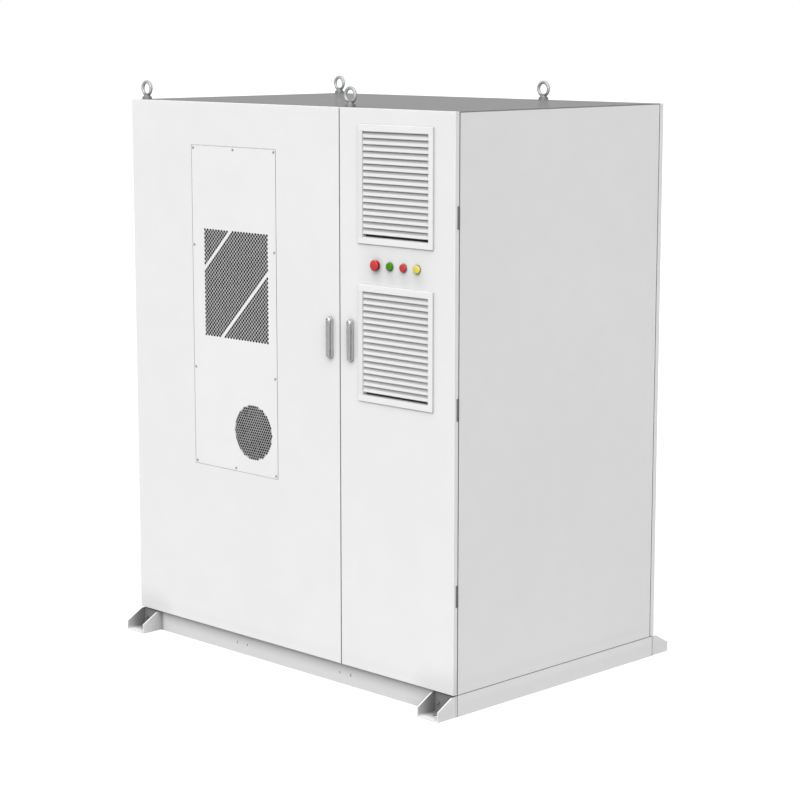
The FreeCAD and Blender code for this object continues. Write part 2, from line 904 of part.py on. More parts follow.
def condenser_coil():
    half_x = mesh_half_x + coil_margin + coil_lap
    half_z = mesh_half_z + coil_margin + coil_lap
    y0 = front + ac_bulkhead_y + sheet
    y_fin = y0 + coil_fin
    y1 = y_fin + coil_fin
    pitch = 2 * half_x / coil_fins
    points = [(mesh_x - half_x, y1, mesh_z - half_z), (mesh_x - half_x, y0, mesh_z - half_z)]
    for k in range(coil_fins):
        x = mesh_x - half_x + k * pitch
        points.append((x + pitch * 0.35, y0, mesh_z - half_z))
        points.append((x + pitch * 0.35, y_fin, mesh_z - half_z))
        points.append((x + pitch, y_fin, mesh_z - half_z))
        points.append((x + pitch, y0, mesh_z - half_z))
    points.append((mesh_x + half_x + 3, y0, mesh_z - half_z))
    points.append((mesh_x + half_x + 3, y1, mesh_z - half_z))
    return extruded(points, Vec(0, 0, 2 * half_z))


def fan_rotor(x, z, y0, tip_r, blades):
    centre = Vec(x, y0, z)
    pieces = [bar(fan_hub_r, centre, NORTH, fan_hub)]
    for k in range(blades):
        corner = Vec(x + fan_hub_r - 8, y0 + (fan_hub - fan_blade) / 2, z - fan_blade_chord / 2)
        blade = Part.makeBox(tip_r - fan_hub_r + 6, fan_blade, fan_blade_chord, corner)
        blade.rotate(Vec(x, y0 + fan_hub / 2, z), EAST, fan_blade_turn)
        blade = blade.common(bar(tip_r - 1, Vec(x, y0 + 1, z), NORTH, fan_hub - 2))
        blade.rotate(centre, NORTH, 360.0 * k / blades)
        pieces.append(blade)
    bore = bar(fan_shaft_r + running, Vec(x, y0 + 8, z), NORTH, fan_hub)
    return joined(pieces).cut(bore)


def fan_frame(x, z, y0, half_w, half_h, tip_r):
    bore_r = tip_r + fan_tip_gap
    plate = box(x - half_w, x + half_w, y0, y0 + sheet, z - half_h, z + half_h)
    ring = bar(bore_r + sheet, Vec(x, y0, z), NORTH, fan_ring)
    pieces = [plate.fuse(ring).cut(bar(bore_r, Vec(x, y0 - 1, z), NORTH, fan_ring + 2))]
    strut_y = y0 + fan_inset + fan_hub + 2
    for turn in (45, 135, 225, 315):
        strut = box(x + motor_r - 4, x + bore_r + 1, strut_y, strut_y + fan_strut, z - 5, z + 5)
        strut.rotate(Vec(x, 0, z), NORTH, turn)
        pieces.append(strut)
    pieces.append(bar(motor_r, Vec(x, strut_y, z), NORTH, motor))
    pieces.append(bar(fan_shaft_r, Vec(x, y0 + 16, z), NORTH, strut_y + 1 - y0 - 16))
    return joined(pieces)


def compressor():
    x = compressor_x
    y = compressor_y
    z = ac_bottom + ac_flange
    can = bar(compressor_r, Vec(x, y, z + 20), UP, compressor_height)
    can = can.makeFillet(compressor_r * 0.43, [e for e in can.Edges if len(e.Vertexes) == 1])
    foot = bar(compressor_foot_r, Vec(x, y, z), UP, 6)
    legs = []
    for turn in (0, 120, 240):
        a = math.radians(turn)
        at = Vec(x + compressor_leg_at * math.cos(a), y + compressor_leg_at * math.sin(a), z)
        legs.append(bar(compressor_leg_r, at, UP, 45))
    return joined([can, foot] + legs)


ac_fan_y = front + ac_bulkhead_y + sheet
save("ac_cover_panel", cover_panel())
save("ac_cover_screws", Part.makeCompound([cover_screw(x, z) for x, z in cover_screw_places()]))
save("ac_casing", ac_casing())
save("ac_condenser_coil", condenser_coil())
save("ac_fan_frame", fan_frame(round_x, round_z, ac_fan_y, ac_fan_plate_x, ac_fan_plate_z, ac_fan_r))
save("ac_fan_rotor", fan_rotor(round_x, round_z, ac_fan_y + fan_inset, ac_fan_r, 7))
save("ac_compressor", compressor())


# Louvres, filters and fans in the right door

def blade(low, inside):
    # A blade stands upright at the front, then slopes up behind the gap over it
    y0 = front - louvre_proud + blade_recess
    y1 = y0 + blade_setback
    high = low + blade_lip
    top = high + blade_setback
    slant = blade_sheet * math.sqrt(2)
    x0 = louvre_x - louvre_in_w / 2 - 1
    profile = [(x0, y0, low), (x0, y0, high), (x0, y1, top), (x0, y1, top - slant),
               (x0, y0 + blade_sheet, high + blade_sheet - slant), (x0, y0 + blade_sheet, low)]
    return extruded(profile, Vec(louvre_in_w + 2, 0, 0)).common(inside)


def louvre(z):
    half_w = louvre_width / 2
    half_h = louvre_height / 2
    in_w = louvre_in_w / 2
    in_h = louvre_in_h / 2
    y_front = front - louvre_proud
    y_back = front + louvre_collar
    border = box(louvre_x - half_w, louvre_x + half_w, y_front, front, z - half_h, z + half_h)
    border = rounded_front(border, y_front, 1.0)
    collar = box(louvre_x - collar_w / 2, louvre_x + collar_w / 2, front - 1, y_back,
                 z - collar_h / 2, z + collar_h / 2)
    window = box(louvre_x - in_w, louvre_x + in_w, y_front - 1, y_back + 1, z - in_h, z + in_h)
    inside = box(louvre_x - in_w - 1, louvre_x + in_w + 1, y_front, y_back, z - in_h - 1, z + in_h + 1)
    pieces = [border.fuse(collar).cut(window)]
    for k in range(blade_gaps - 1):
        pieces.append(blade(z - in_h + blade_gap + k * blade_pitch, inside))
    return joined(pieces)


def louvre_filter(z):
    y0 = front + louvre_collar
    slab = box(louvre_x - collar_w / 2, louvre_x + collar_w / 2, y0, y0 + filter_thick,
               z - collar_h / 2, z + collar_h / 2)
    return slab


def vent_fan_frame(z):
    y0 = front + louvre_collar + filter_thick
    half_w = collar_w / 2 + vent_fan_lap
    half_h = collar_h / 2 + vent_fan_lap
    frame = fan_frame(louvre_x, z, y0, half_w, half_h, vent_fan_r)
    pillars = []
    for sx in (-1, 1):
        for sz in (-1, 1):
            start = Vec(louvre_x + sx * (half_w - 6), front + sheet, z + sz * (half_h - 6))
            pillars.append(bar(5, start, NORTH, y0 - front - sheet + 1))
    return joined([frame] + pillars)


vent_fan_y = front + louvre_collar + filter_thick + fan_inset
save("louvres", Part.makeCompound([louvre(z) for z in louvre_centres]))
save("louvre_filters", Part.makeCompound([louvre_filter(z) for z in louvre_centres]))
save("vent_fan_frames", Part.makeCompound([vent_fan_frame(z) for z in louvre_centres]))
save("upper_fan_rotor", fan_rotor(louvre_x, louvre_centres[0], vent_fan_y, vent_fan_r, 7))
save("lower_fan_rotor", fan_rotor(louvre_x, louvre_centres[1], vent_fan_y, vent_fan_r, 7))


# Stop button and lamps

def panel_x(index):
    return panel_row_x + index * panel_pitch


def indicator_collar(index):
    x = panel_x(index)
    outer = bar(collar_r, Vec(x, front - collar_height, panel_row_z), NORTH, collar_height)
    neck = bar(panel_hole_r, Vec(x, front - 1, panel_row_z), NORTH, contact_start + 1)
    block = box(x - contact_half, x + contact_half, front + contact_start, front + contact_end,
                panel_row_z - contact_half_height, panel_row_z + contact_half_height)
    inner_r = stem_r + running
    bore = bar(inner_r, Vec(x, front - 10, panel_row_z), NORTH, 45)
    return joined([outer, neck, block]).cut(bore)


def lamp(index):
    x = panel_x(index)
    y0 = front - lamp_face
    lens = bar(lamp_r, Vec(x, y0, panel_row_z), NORTH, lamp_face - collar_height)
    lens = rounded_front(lens, y0, 1.5)
    stem = bar(stem_r, Vec(x, front - collar_height - 1, panel_row_z), NORTH, 30)
    return lens.fuse(stem)


def stop_button():
    x = panel_x(0)
    y0 = front - stop_face
    head = bar(stop_r, Vec(x, y0, panel_row_z), NORTH, stop_head)
    head = rounded_front(head, y0, 3.0)
    stem = bar(stem_r, Vec(x, y0 + 2, panel_row_z), NORTH, 45)
    return head.fuse(stem)


save("indicator_collars", Part.makeCompound([indicator_collar(k) for k in range(4)]))
save("stop_button", stop_button())
save("green_lamp", lamp(1))
save("red_lamp", lamp(2))
save("yellow_lamp", lamp(3))


# Handles with their latch gear and rods

pitch_r = gear_module * gear_teeth / 2
tip_r = pitch_r + gear_addendum * gear_module
root_r = pitch_r - gear_addendum * gear_module - gear_root_gap
rack_tip = pitch_r - gear_addendum * gear_module
rack_root = tip_r + gear_root_gap
rack_back = rack_root + rod_thick
case_half = rack_back + 0.4 + case_wall
pressure = math.radians(20)


def flank_half_angle(radius):
    base_r = pitch_r * math.cos(pressure)
    at_pitch = math.pi / (2 * gear_teeth) - gear_backlash / (4 * pitch_r)
    start = math.tan(pressure) - pressure
    if radius <= base_r:
        return at_pitch + start
    slope = math.acos(base_r / radius)
    return at_pitch + start - (math.tan(slope) - slope)


def pinion(x, y0, y1):
    steps = 6
    base_r = pitch_r * math.cos(pressure)
    radii = [root_r] + [base_r + (tip_r - base_r) * k / steps for k in range(steps + 1)]
    points = []
    for tooth in range(gear_teeth):
        centre = 2 * math.pi * tooth / gear_teeth
        for radius in radii:
            turn = centre - flank_half_angle(radius)
            points.append((x + radius * math.cos(turn), y0, spindle_z + radius * math.sin(turn)))
        for radius in reversed(radii):
            turn = centre + flank_half_angle(radius)
            points.append((x + radius * math.cos(turn), y0, spindle_z + radius * math.sin(turn)))
    return extruded(points, Vec(0, y1 - y0, 0))


def latch_rod(x, side, end):
    # side is +1 where the rack lies east of the pinion, end is +1 for the upper rod
    pitch = math.pi * gear_module
    half_tooth = pitch / 4 - gear_backlash / 4
    slope = math.tan(pressure)
    y0 = rod_plane - rod_depth / 2
    reach = rod_throw + pitch * 1.5
    first = -int(reach / pitch) - 1
    points = []
    tooth_count = -first + 1
    for k in range(tooth_count):
        centre = (first + k + 0.5) * pitch
        at_root = half_tooth + (rack_root - pitch_r) * slope
        at_tip = half_tooth - (pitch_r - rack_tip) * slope
        points.append((rack_root, centre - at_root))
        points.append((rack_tip, centre - at_tip))
        points.append((rack_tip, centre + at_tip))
        points.append((rack_root, centre + at_root))
    lowest = points[0][1] - 0.5
    if end > 0:
        tip = frame_top - lip_height - 5
    else:
        tip = base_height + lip_height + 5
    length = abs(tip - spindle_z)
    outline = [(rack_back, lowest), (rack_root, lowest)] + points
    outline += [(rack_root, length - 6), (rack_root + 1, length), (rack_back - 1, length), (rack_back, length - 6)]
    placed = [(x + side * a, y0, spindle_z + end * b) for a, b in outline]
    return extruded(placed, Vec(0, rod_depth, 0))


def latch_case(x, side):
    y0 = front + door_flange
    z0 = spindle_z - case_half_height
    z1 = spindle_z + case_half_height
    outer = box(x - case_half, x + case_half, y0, case_back, z0, z1)
    inner_half = case_half - case_wall
    inner = box(x - inner_half, x + inner_half, y0 + case_wall, case_back - case_wall,
                z0 + case_wall, z1 - case_wall)
    slots = []
    for rod_side, end in ((side, 1), (-side, -1)):
        slots.append(rod_passage(x, rod_side, spindle_z + end * (case_half_height - 1), 4))
    holes = [bar(spindle_r + running, Vec(x, y0 - 1, spindle_z), NORTH, case_wall + 2),
             bar(tail_r + running, Vec(x, case_back - case_wall - 1, spindle_z), NORTH, case_wall + 2)]
    return without(outer, [inner] + slots + holes)


def rod_passage(x, rod_side, z, height_of_cut):
    gap = loose
    low, high = sorted((x + rod_side * (rack_root - gap), x + rod_side * (rack_back + gap)))
    return box(low, high, rod_plane - rod_depth / 2 - gap, rod_plane + rod_depth / 2 + gap,
               z - height_of_cut / 2, z + height_of_cut / 2)


def rod_guides(x, side):
    guides = []
    for rod_side, heights in ((side, guide_heights_up), (-side, guide_heights_down)):
        centre = x + rod_side * (rack_root + rack_back) / 2
        for z in heights:
            block = box(centre - guide_half, centre + guide_half, front + door_flange,
                        rod_plane + rod_depth / 2 + 3, z - guide_half_height, z + guide_half_height)
            guides.append(block.cut(rod_passage(x, rod_side, z, 20)))
    return guides


def handle_back_plate(x):
    plate = stadium(x, handle_low, handle_high, handle_width / 2, front - handle_plate, front)
    plate = rounded_front(plate, front - handle_plate, 1.0)
    hole = bar(spindle_r + running, Vec(x, front - handle_plate - 1, spindle_z), NORTH, handle_plate + 2)
    well = bar(spindle_hub_r + loose, Vec(x, front - handle_plate - 1, spindle_z), NORTH,
               handle_plate - handle_plate_floor + 1)
    return without(plate, [hole, well])


def handle_spindle(x):
    pivot_y = front - lift_depth
    hub_y = front - handle_plate_floor - loose
    gear_y0 = rod_plane - rod_depth / 2 + 0.5
    gear_y1 = rod_plane + rod_depth / 2 - 0.5
    tongue_end = hub_y - hub_disc + 0.2
    pieces = [bar(spindle_hub_r, Vec(x, hub_y - hub_disc, spindle_z), NORTH, hub_disc),
              box(x - tongue_half, x + tongue_half, pivot_y, tongue_end, spindle_z - tongue_r, spindle_z + tongue_r),
              bar(tongue_r, Vec(x - tongue_half, pivot_y, spindle_z), EAST, 2 * tongue_half),
              bar(lift_pin_r, Vec(x - lift_pin_half, pivot_y, spindle_z), EAST, 2 * lift_pin_half),
              bar(spindle_r, Vec(x, hub_y - 1, spindle_z), NORTH, gear_y1 - hub_y + 1),
              bar(tail_r, Vec(x, gear_y1 - 1, spindle_z), NORTH, case_back - gear_y1),
              pinion(x, gear_y0, gear_y1)]
    return joined(pieces)


def handle_lever(x):
    half = lever_width / 2
    low = handle_low + lever_margin
    high = handle_high - lever_margin
    y0 = front - lever_face
    y1 = front - lever_back
    lever = stadium(x, low, high, half, y0, y1)
    lever = rounded_front(lever, y0, 4.0)
    pocket_half = tongue_half + loose
    pocket_reach = tongue_r + tongue_clear
    pocket = box(x - pocket_half, x + pocket_half, y0 + lever_skin, y1 + 1,
                 spindle_z - pocket_reach, spindle_z + pocket_reach)
    pin_half = lift_pin_half + loose
    pin_hole = bar(lift_pin_r + running, Vec(x - pin_half, front - lift_depth, spindle_z), EAST, 2 * pin_half)
    heel = extruded([(x - half - 1, y1, spindle_z), (x - half - 1, y1 - heel_slope * heel_top, spindle_z + heel_top),
                     (x - half - 1, y1 + 1, spindle_z + heel_top), (x - half - 1, y1 + 1, spindle_z)],
                    Vec(lever_width + 2, 0, 0))
    return without(lever, [pocket, pin_hole, heel])


for door, door_side, x_handle in (("left", -1, handle_x[0]), ("right", 1, handle_x[1])):
    save(door + "_handle_plate", handle_back_plate(x_handle))
    save(door + "_handle_spindle", handle_spindle(x_handle))
    save(door + "_handle_lever", handle_lever(x_handle))
    save(door + "_latch_case", Part.makeCompound([latch_case(x_handle, door_side)] + rod_guides(x_handle, door_side)))
    save(door + "_upper_rod", latch_rod(x_handle, door_side, 1))
    save(door + "_lower_rod", latch_rod(x_handle, -door_side, -1))


# Battery rack and packs

rack_left = -post_in_x + 13
pack_bays = []
for bay in range(2):
    bay_left = rack_left + rack_post + bay * (rack_post + pack_width + 2 * rack_play)
    pack_bays.append(bay_left + rack_play)
rack_rear = rack_front + pack_depth + 30
rack_top = pack_first_z + pack_levels * pack_pitch + 10


def level_z(level):
    return pack_first_z + level * pack_pitch


def battery_rack():
    bars = []
    step = rack_post + pack_width + 2 * rack_play
    rear_bar = rack_rear - rack_post
    rail_heights = (floor_top, rack_top - rack_post)
    for k in range(3):
        x = rack_left + k * step
        for y in (rack_front, rear_bar):
            bars.append(box(x, x + rack_post, y, y + rack_post, floor_top, rack_top))
        for z in rail_heights:
            bars.append(box(x, x + rack_post, rack_front + rack_post, rear_bar, z, z + rack_post))
    for pack_x in pack_bays:
        x0 = pack_x - rack_play
        x1 = pack_x + pack_width + rack_play
        for z in rail_heights:
            for y in (rack_front, rear_bar):
                bars.append(box(x0, x1, y, y + rack_post, z, z + rack_post))
        for level in range(pack_levels):
            z = level_z(level)
            for left, right in ((x0, pack_x + ledge), (pack_x + pack_width - ledge, x1)):
                bars.append(box(left, right, rack_front + 1, rack_rear - 1, z - ledge_sheet, z))
    return bars


pack_front = rack_front + pack_setback
cavity_front = pack_front + pack_recess + pack_sheet
cavity_rear = pack_front + pack_depth - pack_sheet


def pack_places():
    places = []
    for x in pack_bays:
        for level in range(pack_levels):
            places.append((x, level_z(level)))
    return places


def battery_pack(x, z):
    body = box(x, x + pack_width, pack_front, pack_front + pack_depth, z, z + pack_height)
    long_edges = [e for e in body.Edges if abs(e.Vertexes[0].Y - e.Vertexes[1].Y) > 1]
    body = body.makeChamfer(pack_chamfer, long_edges)
    recess = box(x + pack_frame, x + pack_width - pack_frame, pack_front - 1, pack_front + pack_recess,
                 z + pack_frame_height, z + pack_height - pack_frame_height)
    w = pack_sheet + pack_chamfer
    cavity = box(x + w, x + pack_width - w, cavity_front, cavity_rear, z + pack_sheet, z + pack_height - pack_sheet)
    return without(body, [recess, cavity])


def cell_stack(x, z):
    w = pack_sheet + pack_chamfer + stack_gap
    middle = x + pack_width / 2
    blocks = []
    for x0, x1 in ((x + w, middle - stack_gap / 2), (middle + stack_gap / 2, x + pack_width - w)):
        blocks.append(box(x0, x1, cavity_front + stack_gap, cavity_rear - stack_gap,
                          z + pack_sheet, z + pack_height - pack_sheet - stack_gap))
    return blocks


def pack_terminals():
    pieces = []
    seat = pack_front + pack_recess
    length = seat - rack_front + terminal_reach
    link_back = rack_front - terminal_reach + 1
    for pack_x in pack_bays:
        left = pack_x + terminal_inset
        right = pack_x + pack_width - terminal_inset
        for level in range(pack_levels):
            z = level_z(level) + pack_height / 2
            for x in (left, right):
                pieces.append(bar(terminal_r, Vec(x, seat, z), Vec(0, -1, 0), length))
            if level < pack_levels - 1:
                x = left if level % 2 else right
                pieces.append(box(x - link_half, x + link_half, link_back - link_thick, link_back,
                                  z, z + pack_pitch))
    return pieces


def power_rack():
    bars = []
    back = unit_front + unit_depth
    left_post = unit_left - rack_post - 1
    right_post = unit_right + 1
    depths = (unit_front + rack_play, back - rack_post - rack_play)
    for y in depths:
        for x in (left_post, right_post):
            bars.append(box(x, x + rack_post, y, y + rack_post, floor_top, unit_rack_top))
        for z in (floor_top, unit_rack_top - rack_post):
            bars.append(box(left_post + rack_post, right_post, y, y + rack_post, z, z + rack_post))
    for z in unit_shelves:
        for x0, x1 in ((left_post + rack_post, unit_left + ledge), (unit_right - ledge, right_post)):
            bars.append(box(x0, x1, unit_front + rack_play, back - rack_play, z - ledge_sheet, z))
    return bars


stacks = []
for pack_x, pack_z in pack_places():
    stacks += cell_stack(pack_x, pack_z)
save("equipment_racks", Part.makeCompound(battery_rack() + power_rack()))
save("battery_packs", Part.makeCompound([battery_pack(x, z) for x, z in pack_places()]))
save("cell_stacks", Part.makeCompound(stacks))
save("pack_terminals", joined(pack_terminals()))


# Units in the right compartment

def unit_case(index):
    y1 = unit_front + unit_depths[index]
    body = box(unit_left, unit_right, unit_front, y1, unit_shelves[index], unit_tops[index])
    body = rounded_front(body, unit_front, unit_edge)
    inside = box(unit_left + sheet, unit_right - sheet, unit_front + unit_fascia, y1 - sheet,
                 unit_shelves[index] + sheet, unit_tops[index] - sheet)
    return body.cut(inside)


def high_voltage_box():
    body = unit_case(0)
    pieces = [bar(knob_bush_r, Vec(knob_x, unit_front + 1, knob_z), NORTH, knob_shaft)]
    for k in range(4):
        start = Vec(socket_first_x + k * socket_pitch, unit_front - socket_reach, knob_z)
        pieces.append(bar(socket_r, start, NORTH, socket_reach + 1))
    bore = bar(knob_shaft_r + running, Vec(knob_x, unit_front - 1, knob_z), NORTH, knob_shaft + 3)
    return joined([body] + pieces).cut(bore)


def isolator_knob():
    disc_front = unit_front - knob_gap - knob_disc
    disc = bar(knob_r, Vec(knob_x, disc_front, knob_z), NORTH, knob_disc)
    grip = box(knob_x - knob_grip_half, knob_x + knob_grip_half, disc_front - knob_grip, disc_front + 1,
               knob_z - knob_r + 2, knob_z + knob_r - 2)
    shaft = bar(knob_shaft_r, Vec(knob_x, unit_front - knob_gap - 1, knob_z), NORTH, knob_shaft + 1)
    return joined([disc, grip, shaft])


def power_converter():
    cuts = []
    for module in range(4):
        z0 = unit_shelves[1] + module_first + module * module_pitch
        for k in range(module_slots):
            x = unit_left + 60 + k * module_slot_pitch
            cuts.append(box(x, x + module_slot, unit_front - 1, unit_front + fascia_cut,
                            z0 + module_slot_low, z0 + module_slot_high))
        if module:
            cuts.append(box(unit_left - 1, unit_right + 1, unit_front - 1, unit_front + 3,
                            z0 - fascia_cut, z0 - fascia_cut / 2))
    return without(unit_case(1), cuts)


def control_box():
    screen = box(unit_left + 60, unit_left + 220, unit_front - 1, unit_front + 3, screen_low, screen_high)
    ports = []
    for k in range(6):
        x = unit_left + 250 + k * 22
        ports.append(box(x, x + 14, unit_front - 1, unit_front + fascia_cut, port_z, port_z + 12))
    return without(unit_case(2), [screen] + ports)


def breaker_block():
    body = box(unit_left, unit_right, unit_front, unit_front + unit_depths[3], unit_shelves[3], unit_tops[3])
    body = rounded_front(body, unit_front, unit_edge)
    length = lever_right - lever_left
    well = bar(lever_barrel_r + loose, Vec(lever_left - loose, lever_axis_y, lever_axis_z), EAST,
               length + 2 * loose)
    reach = lever_stub + loose
    stub = bar(lever_stub_r + running, Vec(lever_left - reach, lever_axis_y, lever_axis_z), EAST,
               length + 2 * reach)
    cheeks = []
    for x0, x1 in ((lever_left - cheek, lever_left - loose), (lever_right + loose, lever_right + cheek)):
        cheeks.append(box(x0, x1, lever_axis_y - cheek_half, unit_front + 1,
                          lever_axis_z - cheek_half, lever_axis_z + cheek_half))
    return without(joined([body] + cheeks), [well, stub])


def breaker_lever():
    length = lever_right - lever_left
    barrel = bar(lever_barrel_r, Vec(lever_left, lever_axis_y, lever_axis_z), EAST, length)
    stub = bar(lever_stub_r, Vec(lever_left - lever_stub, lever_axis_y, lever_axis_z), EAST,
               length + 2 * lever_stub)
    paddle = box(lever_left + 10, lever_right - 10, lever_axis_y - lever_reach, lever_axis_y,
                 lever_axis_z - lever_paddle_half, lever_axis_z + lever_paddle_half)
    paddle.rotate(Vec(lever_left, lever_axis_y, lever_axis_z), EAST, lever_rest_turn)
    return joined([barrel, stub, paddle])


def fire_cylinder():
    x = cylinder_x
    y = cylinder_y
    neck_z = floor_top + cylinder_height
    body = bar(cylinder_r, Vec(x, y, floor_top + 8), UP, cylinder_height)
    body = body.makeFillet(cylinder_r / 2, [e for e in body.Edges if len(e.Vertexes) == 1])
    foot = bar(cylinder_foot_r, Vec(x, y, floor_top), UP, 30)
    neck = bar(16, Vec(x, y, neck_z), UP, 50)
    valve = bar(11, Vec(x - 30, y, neck_z + 35), EAST, 60)
    return joined([body, foot, neck, valve])


save("high_voltage_box", high_voltage_box())
save("isolator_knob", isolator_knob())
save("power_converter", power_converter())
save("control_box", control_box())
save("breaker_block", breaker_block())
save("breaker_lever", breaker_lever())
save("fire_cylinder", fire_cylinder())
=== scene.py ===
"""Dresses the battery storage cabinet: its finishes, its small fittings and the studio round it."""

import json
import logging
import math
from dataclasses import dataclass, field
from enum import Enum
from functools import cached_property
from typing import Sequence

import bmesh
import bpy
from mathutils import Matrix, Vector


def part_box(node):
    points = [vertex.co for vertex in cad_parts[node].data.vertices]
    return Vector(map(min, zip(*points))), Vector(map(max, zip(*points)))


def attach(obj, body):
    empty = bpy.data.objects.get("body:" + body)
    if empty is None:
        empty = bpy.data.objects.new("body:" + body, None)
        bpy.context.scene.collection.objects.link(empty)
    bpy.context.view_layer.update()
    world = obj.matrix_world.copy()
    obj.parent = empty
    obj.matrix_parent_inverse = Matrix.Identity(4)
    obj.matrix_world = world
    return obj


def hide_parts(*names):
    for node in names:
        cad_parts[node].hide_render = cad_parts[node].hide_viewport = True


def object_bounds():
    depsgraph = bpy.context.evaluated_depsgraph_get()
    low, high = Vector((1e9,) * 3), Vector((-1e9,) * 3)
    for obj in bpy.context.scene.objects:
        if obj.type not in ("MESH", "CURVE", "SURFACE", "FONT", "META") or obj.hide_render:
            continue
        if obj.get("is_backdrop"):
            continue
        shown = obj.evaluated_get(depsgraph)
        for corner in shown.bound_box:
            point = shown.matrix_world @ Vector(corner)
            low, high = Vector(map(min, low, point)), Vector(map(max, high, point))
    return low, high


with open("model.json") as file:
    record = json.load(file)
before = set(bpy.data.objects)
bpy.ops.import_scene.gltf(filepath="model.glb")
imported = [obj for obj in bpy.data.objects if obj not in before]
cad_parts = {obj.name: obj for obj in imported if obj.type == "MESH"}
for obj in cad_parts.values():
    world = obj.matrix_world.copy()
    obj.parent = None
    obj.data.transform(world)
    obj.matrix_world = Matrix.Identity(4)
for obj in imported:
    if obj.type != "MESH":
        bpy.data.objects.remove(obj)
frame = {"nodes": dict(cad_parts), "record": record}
LOG = logging.getLogger("cabinet")
Point = tuple[float, float, float]
Colour = tuple[float, float, float]


class Side(Enum):
    """Names the two doors as the CAD nodes and the bodies do."""

    LEFT = "left"
    RIGHT = "right"

    def of(self, part: str) -> str:
        """Names this side's node or body."""
        return f"{self.value}_{part}"


def middle_of(node: str) -> Vector:
    """Gives the middle of a CAD node's box."""
    low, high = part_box(node)
    return (low + high) / 2


BUTTONS = ("stop_button", "green_lamp", "red_lamp", "yellow_lamp")
DOOR_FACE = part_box("right_door_shell")[0].y
BASE_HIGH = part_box("base_frame")[1]
BRACKETS_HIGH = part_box("foot_brackets")[1]
BRACKET_HALF = 0.053
BRACKET_MIDDLE = BRACKETS_HIGH.x - BRACKET_HALF
FOOT_SHADE = 0.0575  # How far the shade of a foot reaches to either side
LOUVRES_LOW, LOUVRES_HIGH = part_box("louvres")

# How openly an upright face lies over the ground: half at its foot, and wholly a reach above it
GROUND_OPEN = 0.5
GROUND_RISE = 0.68
GROUND_BEND = 0.18
OPEN_RAYS = 8

# The angle, in degrees, past which an edge stays sharp
CREASE = 35.0


class Value:
    """One shader value that takes part in Python arithmetic."""

    def __init__(self, shader: "Shader", socket: bpy.types.NodeSocket) -> None:
        """Keeps an output socket, and the shader that owns it and gets the new nodes."""
        self.shader = shader
        self.socket = socket

    def _combine(self, operation: str, first: object, second: object) -> "Value":
        """Adds the node that combines two values.

        Args:
            operation: The Math or Vector Math operation.
            first: The left value or number.
            second: The right value or number.

        Returns:
            The result.
        """
        wide = any(isinstance(v, Value) and v.socket.type in {"RGBA", "VECTOR"} for v in (first, second))
        if not wide:
            return self.shader.node("ShaderNodeMath", {"operation": operation}, {0: first, 1: second})
        pair = [v if isinstance(v, (Value, tuple)) else (v, v, v) for v in (first, second)]
        return self.shader.node("ShaderNodeVectorMath", {"operation": operation}, dict(enumerate(pair)))

    def __add__(self, other: object) -> "Value":
        """Adds."""
        return self._combine("ADD", self, other)

    def __sub__(self, other: object) -> "Value":
        """Subtracts."""
        return self._combine("SUBTRACT", self, other)

    def __rsub__(self, other: object) -> "Value":
        """Subtracts from what stands on the left."""
        return self._combine("SUBTRACT", other, self)

    def __mul__(self, other: object) -> "Value":
        """Multiplies."""
        return self._combine("MULTIPLY", self, other)

    __radd__ = __add__
    __rmul__ = __mul__

    def __abs__(self) -> "Value":
        """Drops the sign."""
        return self.apply("ABSOLUTE")

    def apply(self, operation: str, *others: object) -> "Value":
        """Adds the Math node of an operation that has no operator."""
        return self.shader.node("ShaderNodeMath", {"operation": operation}, dict(enumerate((self, *others))))

    def far(self, other: "Value") -> "Value":
        """Gives the distance whose two legs are this value and another."""
        return (self * self + other * other).apply("SQRT")

    def part(self, letter: str) -> "Value":
        """Gives one coordinate of a point."""
        return self.shader.node("ShaderNodeSeparateXYZ", {}, {"Vector": self}, letter)

    def ramp(self, low: float, high: float) -> "Value":
        """Rises smoothly from 0 at low to 1 at high."""
        sockets = {"Value": self, "From Min": low, "From Max": high}
        return self.shader.node("ShaderNodeMapRange", {"interpolation_type": "SMOOTHSTEP"}, sockets)

    def unoccluded_share(self, reach: float) -> "Value":
        """Gives 1 at a point on an open face, and less in corners and gaps, for painted shade there.

        Args:
            reach: How far off another surface still counts, in metres.

        Returns:
            The open share, with what the ground hides of an upright face put back.
        """
        s = self.shader
        share = s.node("ShaderNodeAmbientOcclusion", {"samples": OPEN_RAYS}, {"Distance": reach}, "AO")
        height = s.node("ShaderNodeMapRange", {}, {"Value": self.part("Z"), "From Max": reach})
        above_ground = GROUND_OPEN + height * (GROUND_RISE - height * GROUND_BEND)
        settings = {"operation": "DIVIDE", "use_clamp": True}
        return s.node("ShaderNodeMath", settings, {0: share, 1: above_ground})

    def near(self, middle: float, half: float, edge: float) -> "Value":
        """Gives 1 as far as half from the middle, and falls smoothly to 0 over the edge."""
        return 1 - abs(self - middle).ramp(half, half + edge)

    def between(self, low: "Colour | Value", high: "Colour | Value") -> "Value":
        """Mixes two colours by this value.

        Args:
            low: The colour at 0.
            high: The colour at 1.

        Returns:
            The mixed colour.
        """
        ends = [end if isinstance(end, Value) else (*end, 1.0) for end in (low, high)]
        sockets = {"Factor": self, "A": ends[0], "B": ends[1]}
        return self.shader.node("ShaderNodeMix", {"data_type": "RGBA"}, sockets, "Result")


